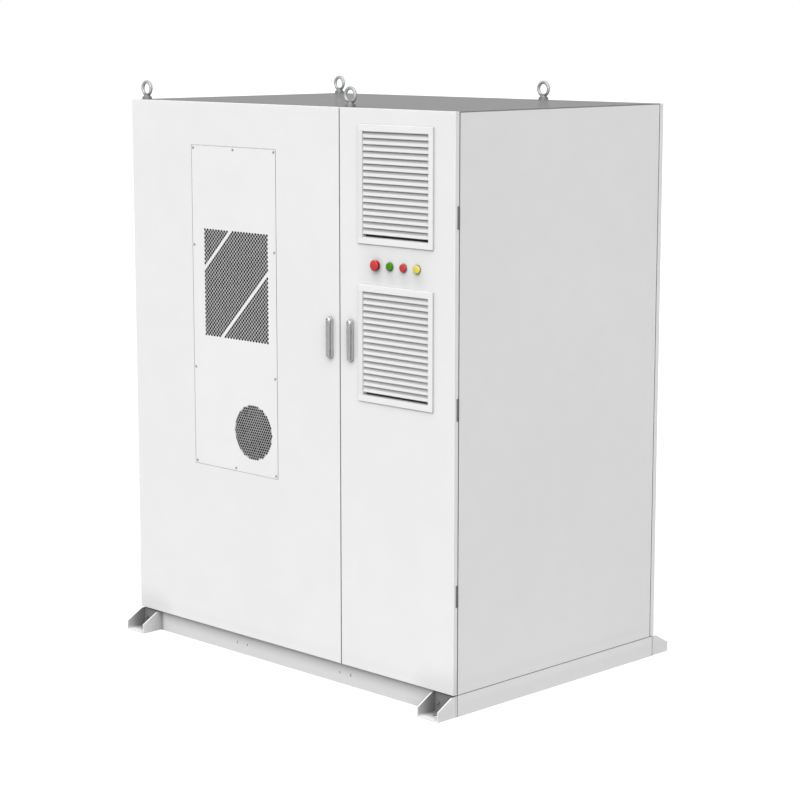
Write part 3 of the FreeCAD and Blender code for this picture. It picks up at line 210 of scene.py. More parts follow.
class Shader:
    """Builds one material out of nodes."""

    def __init__(self, owner: bpy.types.Material | bpy.types.World) -> None:
        """Starts with an empty node tree.

        Args:
            owner: The material or the world that the nodes belong to.
        """
        owner.use_nodes = True
        self.owner = owner
        self.tree = owner.node_tree
        self.tree.nodes.clear()

    @classmethod
    def named(cls, name: str) -> "Shader":
        """Starts a new material."""
        return cls(bpy.data.materials.new(name))

    def node(
        self, kind: str, settings: dict[str, object], sockets: dict[object, object], output: object = 0
    ) -> Value:
        """Adds a node, with its settings first and its sockets after them.

        Args:
            kind: The node's type.
            settings: The node's own options.
            sockets: Values or links, by socket name or number.
            output: The name or number of the output that is wanted.

        Returns:
            The chosen output.
        """
        made = self.tree.nodes.new(kind)
        for key, setting in settings.items():
            setattr(made, key, setting)
        for key, value in sockets.items():
            socket = self._socket(made.inputs, key)
            if isinstance(value, Value):
                self.tree.links.new(value.socket, socket)
            else:
                socket.default_value = value
        return Value(self, self._socket(made.outputs, output))

    @staticmethod
    def _socket(sockets: bpy.types.bpy_prop_collection, key: object) -> bpy.types.NodeSocket:
        """Finds a socket by number or by name, and prefers one that is in use.

        Args:
            sockets: The node's inputs or outputs.
            key: The name or number.

        Returns:
            The socket.
        """
        if isinstance(key, int):
            return sockets[key]
        found = [s for s in sockets if s.name == key]
        return next((s for s in found if s.enabled), found[0])

    def place(self) -> Value:
        """Gives the point on the object, in metres."""
        return self.node("ShaderNodeTexCoord", {}, {}, "Object")

    def noise(self, point: Value, scale: float, detail: float = 2.0) -> Value:
        """Gives a cloudy pattern from 0 to 1."""
        sockets = {"Vector": point, "Scale": scale, "Detail": detail}
        return self.node("ShaderNodeTexNoise", {}, sockets, "Fac")

    def bump(self, height: Value, strength: float, distance: float) -> Value:
        """Gives a normal from a height."""
        sockets = {"Strength": strength, "Distance": distance, "Height": height}
        return self.node("ShaderNodeBump", {}, sockets, "Normal")

    def looked_at(self) -> Value:
        """Tells the rays that show a surface from those that only light by it.

        Returns:
            1 for a ray that shows the surface, or else 0.
        """
        rays = ("Is Camera Ray", "Is Glossy Ray", "Is Transmission Ray")
        camera, glossy, clear = (self.node("ShaderNodeLightPath", {}, {}, ray) for ray in rays)
        return camera.apply("MAXIMUM", glossy).apply("MAXIMUM", clear)

    def surface(self, **sockets: object) -> bpy.types.Material:
        """Ends the material in a Principled surface.

        Args:
            **sockets: Its sockets, with underscores for spaces.

        Returns:
            The finished material.
        """
        named = {key.replace("_", " "): value for key, value in sockets.items()}
        return self.end(self.node("ShaderNodeBsdfPrincipled", {}, named, "BSDF"))

    def end(self, shader: Value) -> bpy.types.Material | bpy.types.World:
        """Links a shader to the output.

        Args:
            shader: The finished surface or background.

        Returns:
            The material or the world.
        """
        kind = "World" if isinstance(self.owner, bpy.types.World) else "Material"
        out = self.tree.nodes.new(f"ShaderNodeOutput{kind}")
        self.tree.links.new(shader.socket, out.inputs["Surface"])
        return self.owner


@dataclass(frozen=True)
class Finish:
    """What every finish has: a name, a colour, and a material that is made once."""

    name: str
    colour: Colour

    def make(self) -> bpy.types.Material:
        """Builds the material."""
        raise NotImplementedError

    @cached_property
    def material(self) -> bpy.types.Material:
        """The material, which is built once."""
        return self.make()

    def scaled(self, share: float) -> Colour:
        """Gives a darker or lighter form of the colour."""
        return tuple(min(1.0, c * share) for c in self.colour)

    def with_marks_and_painted_light(self, here: Value, clean: Value) -> Value:
        """Adds markings, painted shade and highlights to the colour; a plain finish leaves it as it is."""
        return clean


@dataclass(frozen=True)
class PowderCoat(Finish):
    """Baked powder paint on sheet steel, with a faint orange peel and painted shade in its crevices."""

    roughness: float = 0.42
    gloss: float = 0.10
    peel: float = 0.12
    coat: float = 0.0
    corner: float = 0.12
    reach: float = 0.15
    cloud_scale: float = 1.7
    dust_scale: float = 9.0
    cloud_share: float = 0.6
    cloudy: tuple[float, float] = (0.3, 0.75)
    dull: float = 0.965
    dust_rough: float = 0.10
    foot_rough: float = 0.08
    foot_height: float = 0.22
    peel_scale: float = 650.0
    grit_scale: float = 2400.0
    peel_share: float = 0.7
    peel_height: float = 0.0004
    coat_roughness: float = 0.08

    def make(self) -> bpy.types.Material:
        """Builds the material.

        Returns:
            The material.
        """
        s = Shader.named(self.name)
        here = s.place()
        cloud = s.noise(here, self.cloud_scale, 3.0)
        dust_and_shade = s.noise(here, self.dust_scale, 4.0)
        foot = 1 - here.part("Z").ramp(0.0, self.foot_height)
        shade = cloud * self.cloud_share + dust_and_shade * (1 - self.cloud_share)
        clean = shade.ramp(*self.cloudy).between(self.scaled(self.dull), self.colour)
        # Painted shade: the colour darkens towards the corner share in crevices, gaps and under other parts
        colour = self.openness(here).between(self.scaled(self.corner), self.with_marks_and_painted_light(here, clean))
        rough = self.roughness + (dust_and_shade - 0.5) * self.dust_rough + foot * self.foot_rough
        grit = s.noise(here, self.grit_scale, 1.0)
        peel = s.noise(here, self.peel_scale, 1.0) * self.peel_share + grit * (1 - self.peel_share)
        normal = s.bump(peel, self.peel, self.peel_height)
        return s.surface(
            Base_Color=colour,
            Roughness=rough,
            Specular_IOR_Level=self.gloss,
            Normal=normal,
            Coat_Weight=self.coat,
            Coat_Roughness=self.coat_roughness,
        )

    def openness(self, here: Value) -> Value:
        """Gives how open each point lies, from 0 in a crevice to 1 on a free face, for the painted shade."""
        return here.unoccluded_share(self.reach)


@dataclass(frozen=True)
class BodyPaint(PowderCoat):
    """Paint of the body, with no painted crevice shade on the seams along the rear."""

    rear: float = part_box("rear_panels")[0].y - 0.0028
    fade: float = 0.004

    def openness(self, here: Value) -> Value:
        """Keeps painted shade off the rear seams, with an openness of 1 along the rear."""
        away = 1 - here.part("Y").ramp(self.rear - self.fade, self.rear)
        return 1 - away * (1 - here.unoccluded_share(self.reach))


@dataclass(frozen=True)
class DoorPaint(BodyPaint):
    """Paint of the doors, with painted shade above the feet, round the lamps and as a shadow under each."""

    foot_top: float = 0.085
    foot_reach: float = 0.12
    above_foot_shade: float = 0.12
    row: tuple[float, float] = (middle_of("louvres").x, middle_of("stop_button").z)
    row_half: tuple[float, float] = (0.14, 0.06)
    row_edge: tuple[float, float] = (0.075, 0.015)
    row_shade: float = 0.045
    buttons: tuple[float, ...] = tuple(middle_of(node).x for node in BUTTONS)
    shadow_drop: tuple[float, float] = (0.004, 0.036)
    shadow_reach: float = 0.05
    lamp_shadow: float = 0.11

    def with_marks_and_painted_light(self, here: Value, clean: Value) -> Value:
        """Paints shade above the feet and round the row of lamps, and a soft shadow below each lamp.

        Args:
            here: The point.
            clean: The clean paint.

        Returns:
            The paint with its painted shade.
        """
        across = here.part("X")
        up = here.part("Z")
        # Painted shade above each foot, fading with distance
        aside = abs(abs(across) - BRACKET_MIDDLE)
        past = (aside - FOOT_SHADE).apply("MAXIMUM", 0.0)
        feet = 1 - past.far(up - self.foot_top).ramp(0.0, self.foot_reach)
        # Faint painted shade over a field round the row of lamps
        row = across.near(self.row[0], self.row_half[0], self.row_edge[0])
        row = row * up.near(self.row[1], self.row_half[1], self.row_edge[1])
        share = (1 - feet * self.above_foot_shade) * (1 - row * self.row_shade)
        # Painted soft shadow below each lamp
        for button in self.buttons:
            aside = across - (button + self.shadow_drop[0])
            far = aside.far(up - (self.row[1] - self.shadow_drop[1]))
            share = share * (1 - (1 - far.ramp(0.0, self.shadow_reach)) * self.lamp_shadow)
        return share * clean


@dataclass(frozen=True)
class BracketPaint(PowderCoat):
    """Paint of the foot brackets, with painted shade in the pocket between the gussets."""

    half_pocket: float = 0.048
    edge: float = 0.0005
    reach_out: float = BRACKETS_HIGH.y - BASE_HIGH.y
    back_share: float = 0.2
    sole: float = 0.005
    sole_fade: float = 0.010
    wall_share: float = 0.5
    dust_and_shade: float = 0.72

    def with_marks_and_painted_light(self, here: Value, clean: Value) -> Value:
        """Paints shade into the pocket, most of all at its back.

        Args:
            here: The point.
            clean: The clean paint.

        Returns:
            The marked paint.
        """
        inside = abs(here.part("X")).near(BRACKET_MIDDLE, self.half_pocket, self.edge)
        out = abs(here.part("Y")) - BASE_HIGH.y
        on_sole = 1 - here.part("Z").ramp(self.sole, self.sole + self.sole_fade)
        open_front = out.ramp(self.reach_out * self.back_share, self.reach_out)
        fade = open_front * (self.wall_share + on_sole * (1 - self.wall_share))
        # Painted shade, darkest at the pocket's back
        shade = inside * (1 - fade) * self.dust_and_shade
        return (1 - shade) * clean


@dataclass(frozen=True)
class BasePaint(PowderCoat):
    """Paint of the base channel, with painted shade under the doors, by the feet and inside the channel."""

    wall: float = 0.004
    overhang_shade_height: float = 0.055
    dust_and_shade: float = 0.24
    shade_film: float = 0.14
    bracket: float = BRACKET_MIDDLE - FOOT_SHADE
    bracket_shadow_width: float = 0.025
    bracket_shadow: float = 0.32
    joint: float = 0.006
    joint_edge: float = 0.0015
    joint_darkening: float = 0.26
    inside_shade: float = 0.10

    def with_marks_and_painted_light(self, here: Value, clean: Value) -> Value:
        """Paints shade under the doors, by the feet and inside the channel, and a dark line by each foot.

        Args:
            here: The point.
            clean: The clean paint.

        Returns:
            The marked paint.
        """
        deep = abs(here.part("Y"))
        wide = abs(here.part("X"))
        on_front = deep.ramp(BASE_HIGH.y - self.wall / 8, BASE_HIGH.y - self.wall / 16)
        # Painted shade under the doors' overhang, and a little over the whole front
        sheltered = here.part("Z").ramp(BASE_HIGH.z - self.overhang_shade_height, BASE_HIGH.z)
        # Painted soft shadow beside each foot, and a dark line at its side
        bracket_shadowed = wide.near(self.bracket, 0.0, self.bracket_shadow_width)
        joint = wide.near(self.bracket, self.joint, self.joint_edge)
        marks = sheltered * self.dust_and_shade + bracket_shadowed * self.bracket_shadow + joint * self.joint_darkening + self.shade_film
        # Painted shade on all that lies inside the channel
        outer_width = wide.ramp(BASE_HIGH.x - self.wall / 2, BASE_HIGH.x - self.wall / 4)
        inside = (1 - on_front) * (1 - outer_width)
        return (1 - on_front * marks) * (1 - inside * (1 - self.inside_shade)) * clean


@dataclass(frozen=True)
class CoverPaint(PowderCoat):
    """Paint of the air conditioner's cover, with painted shade on its mesh, its round grille and in the
    holes.
    """

    mesh_middle: tuple[float, float] = (-0.2737, 1.4922)
    mesh_half: tuple[float, float] = (0.1833, 0.2083)
    step: float = 0.008331
    stripes: tuple[int, ...] = (32, -12)
    stripe_half: float = 0.0064
    stripe_edge: float = 0.001
    grille_middle: tuple[float, float] = (-0.1802, 0.9199)
    grille_reach: float = 0.107
    edge: float = 0.004
    skin: float = 0.0004
    dust_and_shade: float = 0.38
    hole_wall_shade: float = 0.94

    def with_marks_and_painted_light(self, here: Value, clean: Value) -> Value:
        """Paints shade on the webs between the holes, and on the holes' own sides.

        Args:
            here: The point.
            clean: The clean paint.

        Returns:
            The paint with its painted shade.
        """
        across = here.part("X")
        up = here.part("Z")
        off_grille = (across - self.grille_middle[0]).far(up - self.grille_middle[1])
        in_grille = 1 - off_grille.ramp(self.grille_reach, self.grille_reach + self.edge)
        # Painted shade on the webs and on the holes' sides behind the face
        webs = self._in_mesh(across, up) + in_grille
        behind = here.part("Y").ramp(DOOR_FACE + self.skin / 4, DOOR_FACE + self.skin)
        return (1 - webs * self.dust_and_shade) * (1 - behind * self.hole_wall_shade) * clean

    def _in_mesh(self, across: Value, up: Value) -> Value:
        """Gives 1 between the square field's holes and 0 on its stripes.

        Args:
            across: The point's place from left to right.
            up: The point's height.

        Returns:
            The share.
        """
        middle_x, middle_z = self.mesh_middle
        half_x, half_z = self.mesh_half
        share = across.near(middle_x, half_x, self.edge) * up.near(middle_z, half_z, self.edge)
        corner_offset = (middle_z - half_z) - (middle_x - half_x)
        for stripe in self.stripes:
            offset = stripe * self.step + corner_offset
            off_line = abs(up - across - offset) * math.sqrt(0.5)
            share = share * off_line.ramp(self.stripe_half, self.stripe_half + self.stripe_edge)
        return share


@dataclass(frozen=True)
class LouvrePaint(PowderCoat):
    """Paint of the louvres, with painted shade and shadows behind the lips, on their edges and round the
    windows.
    """

    skin: float = 0.0001
    lip_depth: float = 0.0015
    dust_and_shade: float = 0.66
    outer_wall_shade: float = 0.62
    border: float = 0.024
    window_half: float = 0.1922
    window_edge: float = 0.006
    middle: float = middle_of("louvres").z
    apart: float = 0.29325
    pitch: float = 0.0234
    gap: float = 0.010
    lip_soft: float = 0.0026
    lip_edge_shade: float = 0.42
    rim: float = 0.0016
    rim_shadow: float = 0.42
    end: float = 0.012
    end_shadow: float = 0.45
    left_shade: float = 0.06

    def with_marks_and_painted_light(self, here: Value, clean: Value) -> Value:
        """Paints shade behind and on the lips' edges, on the outer wall and by the left end of each window.

        Args:
            here: The point.
            clean: The clean paint.

        Returns:
            The marked paint.
        """
        left, right = LOUVRES_LOW.x + self.border, LOUVRES_HIGH.x - self.border
        behind = here.part("Y").ramp(DOOR_FACE + self.skin, DOOR_FACE + self.lip_depth)
        across = here.part("X")
        wall = across.ramp(LOUVRES_HIGH.x - self.rim, LOUVRES_HIGH.x - self.rim / 2)
        off_middle = abs(abs(here.part("Z") - self.middle) - self.apart)
        beside = 1 - off_middle.ramp(self.window_half, self.window_half + self.window_edge)
        rim = across.near(left, self.rim / 2, self.rim / 2) * beside
        end = (1 - across.ramp(left + self.end / 2, left + self.end)) * behind
        shade_film = (1 - across.ramp(left - self.rim, left - self.rim / 2)) * beside
        off_gap = off_middle.apply("PINGPONG", self.pitch / 2)
        lips = across.ramp(left, left + self.rim / 4) * beside
        lips = lips * (1 - across.ramp(right - self.rim / 4, right))
        lip_edges = (1 - off_gap.ramp(self.gap / 2, self.gap / 2 + self.lip_soft)) * lips
        # Painted shade and shadows: outer wall, left rim, left end, left field and the lips' edges
        marks = (1 - wall * self.outer_wall_shade) * (1 - rim * self.rim_shadow) * (1 - end * self.end_shadow)
        marks = marks * (1 - shade_film * self.left_shade) * (1 - lip_edges * (1 - behind) * self.lip_edge_shade)
        return (1 - behind * self.dust_and_shade) * marks * clean


@dataclass(frozen=True)
class PlatedSteel(Finish):
    """Zinc or nickel plate with fine directional marks."""

    roughness: float = 0.28
    patch_scale: float = 38.0
    fine_scale: float = 900.0
    patchy: tuple[float, float] = (0.3, 0.7)
    patch_rough: float = 0.16
    fine_rough: float = 0.06
    marks: float = 600.0
    marks_share: float = 0.15
    marks_depth: float = 0.0003
    dull: float = 0.82

    def make(self) -> bpy.types.Material:
        """Builds the material.

        Returns:
            The material.
        """
        s = Shader.named(self.name)
        here = s.place()
        patch = s.noise(here, self.patch_scale, 4.0)
        fine = s.noise(here, self.fine_scale)
        colour = patch.ramp(*self.patchy).between(self.scaled(self.dull), self.colour)
        rough = self.roughness + (patch - 0.5) * self.patch_rough + (fine - 0.5) * self.fine_rough
        normal = s.bump(s.noise(here, self.marks, 3.0), self.marks_share, self.marks_depth)
        return s.surface(Base_Color=colour, Metallic=1.0, Roughness=rough, Normal=normal)


@dataclass(frozen=True)
class GalvanisedSheet(Finish):
    """Hot-dip galvanised sheet with its spangle."""

    grain: float = 70.0
    dull: float = 0.72
    smooth: float = 0.34
    rough_spread: float = 0.16
    metallic: float = 0.85
    flake_share: float = 0.08
    flake_depth: float = 0.0005

    def make(self) -> bpy.types.Material:
        """Builds the material.

        Returns:
            The material.
        """
        s = Shader.named(self.name)
        here = s.place()
        cell = s.node("ShaderNodeTexVoronoi", {}, {"Vector": here, "Scale": self.grain}, "Color")
        flake = s.node("ShaderNodeSeparateColor", {}, {"Color": cell}, "Red")
        colour = flake.between(self.scaled(self.dull), self.colour)
        rough = self.smooth + flake * self.rough_spread
        normal = s.bump(flake, self.flake_share, self.flake_depth)
        return s.surface(Base_Color=colour, Metallic=self.metallic, Roughness=rough, Normal=normal)


@dataclass(frozen=True)
class Grained(Finish):
    """Smooth piece with a fine even grain and a faint cloud in its colour."""

    roughness: float = 0.45
    metallic: float = 0.0
    coat: float = 0.0
    gloss: float = 0.5
    grain: float = 1400.0
    grain_detail: float = 2.0
    grain_rough: float = 0.12
    grain_share: float = 0.18
    grain_depth: float = 0.0002
    cloud_scale: float = 30.0
    cloudy: tuple[float, float] = (0.3, 0.7)
    shades: tuple[float, float] = (0.86, 1.0)
    coat_roughness: float = 0.12

    def make(self) -> bpy.types.Material:
        """Builds the material.

        Returns:
            The material.
        """
        s = Shader.named(self.name)
        here = s.place()
        grain = s.noise(here, self.grain, self.grain_detail)
        cloud = s.noise(here, self.cloud_scale, 3.0)
        low, high = (self.scaled(shade) for shade in self.shades)
        return s.surface(
            Base_Color=self.with_marks_and_painted_light(here, cloud.ramp(*self.cloudy).between(low, high)),
            Metallic=self.metallic,
            Roughness=self.roughness + (grain - 0.5) * self.grain_rough,
            Specular_IOR_Level=self.gloss,
            Normal=s.bump(grain, self.grain_share, self.grain_depth),
            Coat_Weight=self.coat,
            Coat_Roughness=self.coat_roughness,
        )


@dataclass(frozen=True)
class SatinMetal(Grained):
    """Cast zinc or aluminium with a blasted satin face."""

    roughness: float = 0.36
    metallic: float = 0.8
    grain: float = 1900.0
    grain_detail: float = 3.0
    grain_rough: float = 0.14
    grain_share: float = 0.25
    cloud_scale: float = 45.0
    cloudy: tuple[float, float] = (0.35, 0.75)
    shades: tuple[float, float] = (1.0, 1.18)


@dataclass(frozen=True)
class LeverMetal(SatinMetal):
    """Metal of the levers, with a highlight painted on the head."""

    lit_side: float = 0.0045
    head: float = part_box("left_handle_lever")[1].z - 0.0045
    core: tuple[float, float] = (0.0013, 0.0023)
    fade: tuple[float, float] = (0.0072, 0.0092)
    bright: Colour = (0.97, 0.97, 0.97)

    def with_marks_and_painted_light(self, here: Value, clean: Value) -> Value:
        """Paints a highlight on the heads.

        Args:
            here: The point.
            clean: The metal elsewhere.

        Returns:
            The metal with its painted highlight.
        """
        across = here.part("X") - self.lit_side
        middles = [middle_of(side.of("handle_lever")).x for side in Side]
        aside = sum(across.near(middle, self.core[0], self.fade[0]) for middle in middles)
        upright = here.part("Z").near(self.head, self.core[1], self.fade[1])
        # Painted highlight at each lever's head
        return (aside * upright).between(clean, self.bright)


@dataclass(frozen=True)
class EyeSteel(SatinMetal):
    """Steel of the lifting eyes, darker on the collars."""

    foot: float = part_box("roof_panel")[1].z + 0.004
    collar: float = 0.016
    neck: float = 0.024
    collar_darkening: float = 0.45

    def with_marks_and_painted_light(self, here: Value, clean: Value) -> Value:
        """Darkens the collars, and leaves the rings above them as they are."""
        low = 1 - here.part("Z").ramp(self.foot + self.collar, self.foot + self.neck)
        return (1 - low * self.collar_darkening) * clean


@dataclass(frozen=True)
class MouldedPlastic(Grained):
    """Injection-moulded plastic with a fine spark grain."""


@dataclass(frozen=True)
class LampPlastic(MouldedPlastic):
    """Glossier, coarser plastic of the lenses and of the stop button."""

    roughness: float = 0.3
    grain: float = 900.0


@dataclass(frozen=True)
class CollarPlastic(MouldedPlastic):
    """Plastic of the collars: dark grey under the lamps, dark red under the stop button."""

    stop_side: float = (middle_of("stop_button").x + middle_of("green_lamp").x) / 2
    skin: float = 0.0005
    stop_colour: Colour = (0.30, 0.02, 0.02)

    def with_marks_and_painted_light(self, here: Value, clean: Value) -> Value:
        """Colours the stop button's collar.

        Args:
            here: The point.
            clean: The lamps' collars.

        Returns:
            The colour.
        """
        at_stop = 1 - here.part("X").ramp(self.stop_side - self.skin, self.stop_side + self.skin)
        outside = 1 - here.part("Y").ramp(DOOR_FACE + self.skin, DOOR_FACE + self.skin * 2)
        return (at_stop * outside).between(clean, self.stop_colour)


@dataclass(frozen=True)
class Porous(Finish):
    """Soft open stuff, whose colour, roughness and relief follow one pattern."""

    scale: float = 900.0
    edges: tuple[float, float] = (0.0, 0.6)
    deep: float = 0.4
    roughness: float = 0.85
    rough_drop: float = 0.1
    relief: float = 0.5
    depth: float = 0.0006

    def pattern(self, here: Value) -> Value:
        """Gives the pattern at a point."""
        raise NotImplementedError

    def make(self) -> bpy.types.Material:
        """Builds the material.

        Returns:
            The material.
        """
        s = Shader.named(self.name)
        pattern = self.pattern(s.place())
        colour = pattern.ramp(*self.edges).between(self.scaled(self.deep), self.colour)
        rough = self.roughness - pattern * self.rough_drop
        return s.surface(Base_Color=colour, Roughness=rough, Normal=s.bump(pattern, self.relief, self.depth))


@dataclass(frozen=True)
class FoamRubber(Porous):
    """Closed-cell foam of a door seal."""

    def pattern(self, here: Value) -> Value:
        """Gives how far off the nearest cell's middle is."""
        sockets = {"Vector": here, "Scale": self.scale}
        return here.shader.node("ShaderNodeTexVoronoi", {}, sockets, "Distance")


@dataclass(frozen=True)
class FibreMat(Porous):
    """Dust filter: a mat of loose fibres."""

    scale: float = 420.0
    edges: tuple[float, float] = (0.35, 0.65)
    deep: float = 0.25
    roughness: float = 0.9
    relief: float = 0.8
    depth: float = 0.0015
    detail: float = 6.0
    tangled: float = 2.5

    def pattern(self, here: Value) -> Value:
        """Gives a tangle of fibres."""
        shape = {"Scale": self.scale, "Detail": self.detail, "Distortion": self.tangled}
        return here.shader.node("ShaderNodeTexNoise", {}, {"Vector": here, **shape}, "Fac")


@dataclass(frozen=True)
class FinStock(Finish):
    """Thin bare fins of a heat exchanger."""

    fin_scale: float = 28.0
    bent: float = 0.4
    fin_share: float = 0.2
    fin_depth: float = 0.0005
    soil_scale: float = 24.0
    soil_share: float = 0.6
    soil_rough: float = 0.2
    deep: float = 0.45
    roughness: float = 0.4
    metallic: float = 0.6

    def make(self) -> bpy.types.Material:
        """Builds the material.

        Returns:
            The material.
        """
        s = Shader.named(self.name)
        here = s.place()
        sockets = {"Vector": here, "Scale": self.fin_scale, "Distortion": self.bent}
        wave = s.node("ShaderNodeTexWave", {"bands_direction": "Z"}, sockets, "Fac")
        soil = s.noise(here, self.soil_scale, 4.0)
        shade = wave * (1 - self.soil_share) + soil * self.soil_share
        colour = shade.between(self.scaled(self.deep), self.colour)
        rough = self.roughness + soil * self.soil_rough
        normal = s.bump(wave, self.fin_share, self.fin_depth)
        return s.surface(Base_Color=colour, Metallic=self.metallic, Roughness=rough, Normal=normal)


@dataclass(frozen=True)
class StudioFloor(Finish):
    """Pale floor that shows white and keeps the shadow."""

    dark: Colour = (0.10, 0.10, 0.10)
    glow: float = 0.70

    def make(self) -> bpy.types.Material:
        """Builds the material.

        Returns:
            The material.
        """
        s = Shader.named(self.name)
        under = s.node("ShaderNodeBsdfDiffuse", {}, {"Color": (*self.dark, 1.0)}, "BSDF")
        matt = s.node("ShaderNodeBsdfDiffuse", {}, {"Color": (*self.colour, 1.0)}, "BSDF")
        glow = s.node("ShaderNodeEmission", {}, {"Strength": self.glow}, "Emission")
        bright = s.node("ShaderNodeAddShader", {}, {0: matt, 1: glow}, "Shader")
        return s.end(s.node("ShaderNodeMixShader", {}, {0: s.looked_at(), 1: under, 2: bright}, "Shader"))


WHITE_PAINT = BodyPaint("white paint", (0.83, 0.83, 0.83))
DOOR_PAINT = DoorPaint("door paint", (0.83, 0.83, 0.83))
BASE_PAINT = BasePaint("base paint", (0.84, 0.84, 0.84), corner=0.42)
COVER_PAINT = CoverPaint("cover paint", (0.84, 0.84, 0.84))
BRACKET_PAINT = BracketPaint("bracket paint", (0.83, 0.83, 0.83))
LOUVRE_PAINT = LouvrePaint("louvre paint", (0.84, 0.84, 0.84), corner=0.85, reach=0.03)
# Dark grey, far below the walls' white: partly the roof's own paint and partly painted shade on the top
ROOF_SHADE_PAINT = PowderCoat("roof paint", (0.24, 0.24, 0.24), roughness=0.5, gloss=0.0, peel=0.05, coat=0.10)
FRAME_PAINT = PowderCoat("frame paint", (0.66, 0.67, 0.67), roughness=0.5)
UNIT_PAINT = PowderCoat("unit paint", (0.42, 0.44, 0.46), roughness=0.5)
PACK_PAINT = PowderCoat("pack paint", (0.045, 0.05, 0.055), roughness=0.5)
RED_ENAMEL = PowderCoat("red enamel", (0.55, 0.02, 0.015), roughness=0.22, gloss=0.5, peel=0.05)
BLACK_ENAMEL = PowderCoat("black enamel", (0.018, 0.018, 0.02), roughness=0.25, gloss=0.5, peel=0.05)
ZINC = PlatedSteel("zinc plate", (0.66, 0.67, 0.68))
EYE_STEEL = EyeSteel("eye steel", (0.34, 0.345, 0.35), roughness=0.5, metallic=0.55)
COVER_SCREW = PlatedSteel("cover screw", (0.34, 0.34, 0.35), roughness=0.34)
FOOT_BOLT = SatinMetal("foot bolt", (0.22, 0.22, 0.225), roughness=0.5, metallic=0.4)
DARK_HINGE = PlatedSteel("hinge steel", (0.15, 0.15, 0.16), roughness=0.4)
GALVANISED = GalvanisedSheet("galvanised sheet", (0.62, 0.64, 0.66))
LEVER_METAL = LeverMetal("lever metal", (0.31, 0.31, 0.315), roughness=0.2)
HANDLE_METAL = SatinMetal("handle metal", (0.42, 0.42, 0.425), roughness=0.3, metallic=0.6)
BLACK_PLASTIC = MouldedPlastic("black plastic", (0.03, 0.03, 0.032))
FAN_PLASTIC = MouldedPlastic("fan plastic", (0.022, 0.022, 0.024), roughness=0.5)
BEZEL = CollarPlastic("bezel plastic", (0.15, 0.15, 0.155), roughness=0.4)
STOP_RED = LampPlastic("stop red", (0.57, 0.035, 0.035), roughness=0.4, coat=0.10, gloss=0.25)
LENS_RED = LampPlastic("lens red", (0.55, 0.035, 0.035), coat=0.12, gloss=0.25)
LENS_GREEN = LampPlastic("lens green", (0.055, 0.26, 0.003), coat=0.04, gloss=0.12)
LENS_YELLOW = LampPlastic("lens yellow", (0.75, 0.64, 0.085), coat=0.10, gloss=0.2)
CELL_WRAP = MouldedPlastic("cell wrap", (0.02, 0.10, 0.26), roughness=0.35)
TERMINAL_ORANGE = MouldedPlastic("terminal orange", (0.72, 0.17, 0.02), roughness=0.4)
SEAL_FOAM = FoamRubber("seal foam", (0.03, 0.03, 0.03))
FILTER_MAT = FibreMat("filter mat", (0.035, 0.035, 0.037))
FIN_STOCK = FinStock("fin stock", (0.030, 0.032, 0.036))
FLOOR = StudioFloor("studio floor", (0.42, 0.42, 0.42))


def dress(finish: Finish, *nodes: str) -> None:
    """Gives a finish to whole CAD nodes.

    Args:
        finish: The finish.
        *nodes: The nodes' names.
    """
    for name in nodes:
        mesh = frame["nodes"][name].data
        mesh.materials.clear()
        mesh.materials.append(finish.material)
        LOG.info("%s is %s", name, finish.material.name)


def slot_of(node: str) -> str:
    """Gives the record's material slot of a CAD node."""
    return next(part["material_slot"] for part in frame["record"]["subparts"] if part["node"] == node)


def circle(middle: tuple[float, float], radius: float, points: int) -> list[tuple[float, float]]:
    """Gives equally spaced points of a circle in a plane."""
    turns = [2 * math.pi * k / points for k in range(points)]
    return [(middle[0] + radius * math.cos(t), middle[1] + radius * math.sin(t)) for t in turns]


class Form:
    """Builds one piece's mesh out of rings of points."""

    def __init__(self, name: str) -> None:
        """Starts with an empty mesh."""
        self.name = name
        self.mesh = bmesh.new()

    def skin(self, rings: Sequence[Sequence[Point]]) -> None:
        """Joins rings of equally many points one after another, and closes both ends.

        Args:
            rings: The rings, from one end to the other.
        """
        loops = [[self.mesh.verts.new(point) for point in ring] for ring in rings]
        for near, far in zip(loops, loops[1:]):
            for k, corner in enumerate(near):
                after = (k + 1) % len(near)
                self.mesh.faces.new((corner, near[after], far[after], far[k]))
        self.mesh.faces.new(loops[0])
        self.mesh.faces.new(loops[-1])

    def piece(self) -> bpy.types.Object:
        """Ends the mesh, with outward faces.

        Returns:
            The finished object.
        """
        bmesh.ops.recalc_face_normals(self.mesh, faces=self.mesh.faces)
        data = bpy.data.meshes.new(self.name)
        self.mesh.to_mesh(data)
        self.mesh.free()
        piece = bpy.data.objects.new(self.name, data)
        bpy.context.scene.collection.objects.link(piece)
        return piece


def carve(piece: bpy.types.Object, cutters: Sequence[bpy.types.Object]) -> None:
    """Cuts other forms out of a piece, and removes them.

    Args:
        piece: The piece.
        cutters: What is cut out of it.
    """
    for cutter in cutters:
        tool = piece.modifiers.new(cutter.name, "BOOLEAN")
        tool.operation = "DIFFERENCE"
        tool.solver = "EXACT"
        tool.object = cutter
    graph = bpy.context.evaluated_depsgraph_get()
    carved = bpy.data.meshes.new_from_object(piece.evaluated_get(graph))
    piece.modifiers.clear()
    piece.data = carved
    for cutter in cutters:
        bpy.data.objects.remove(cutter, do_unlink=True)


def fit(piece: bpy.types.Object, node: str, body: str, finish: Finish) -> None:
    """Dresses a piece and puts it in a CAD node's place.

    Args:
        piece: The piece, already where it belongs.
        node: The CAD node that it stands for.
        body: The body that it moves with.
        finish: Its finish.
    """
    piece.data.materials.clear()
    piece.data.materials.append(finish.material)
    for face in piece.data.polygons:
        face.use_smooth = True
    piece.data.set_sharp_from_angle(angle=math.radians(CREASE))
    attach(piece, body)
    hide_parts(node)
    slot_of(node)
    LOG.info("%s stands for %s", piece.name, node)


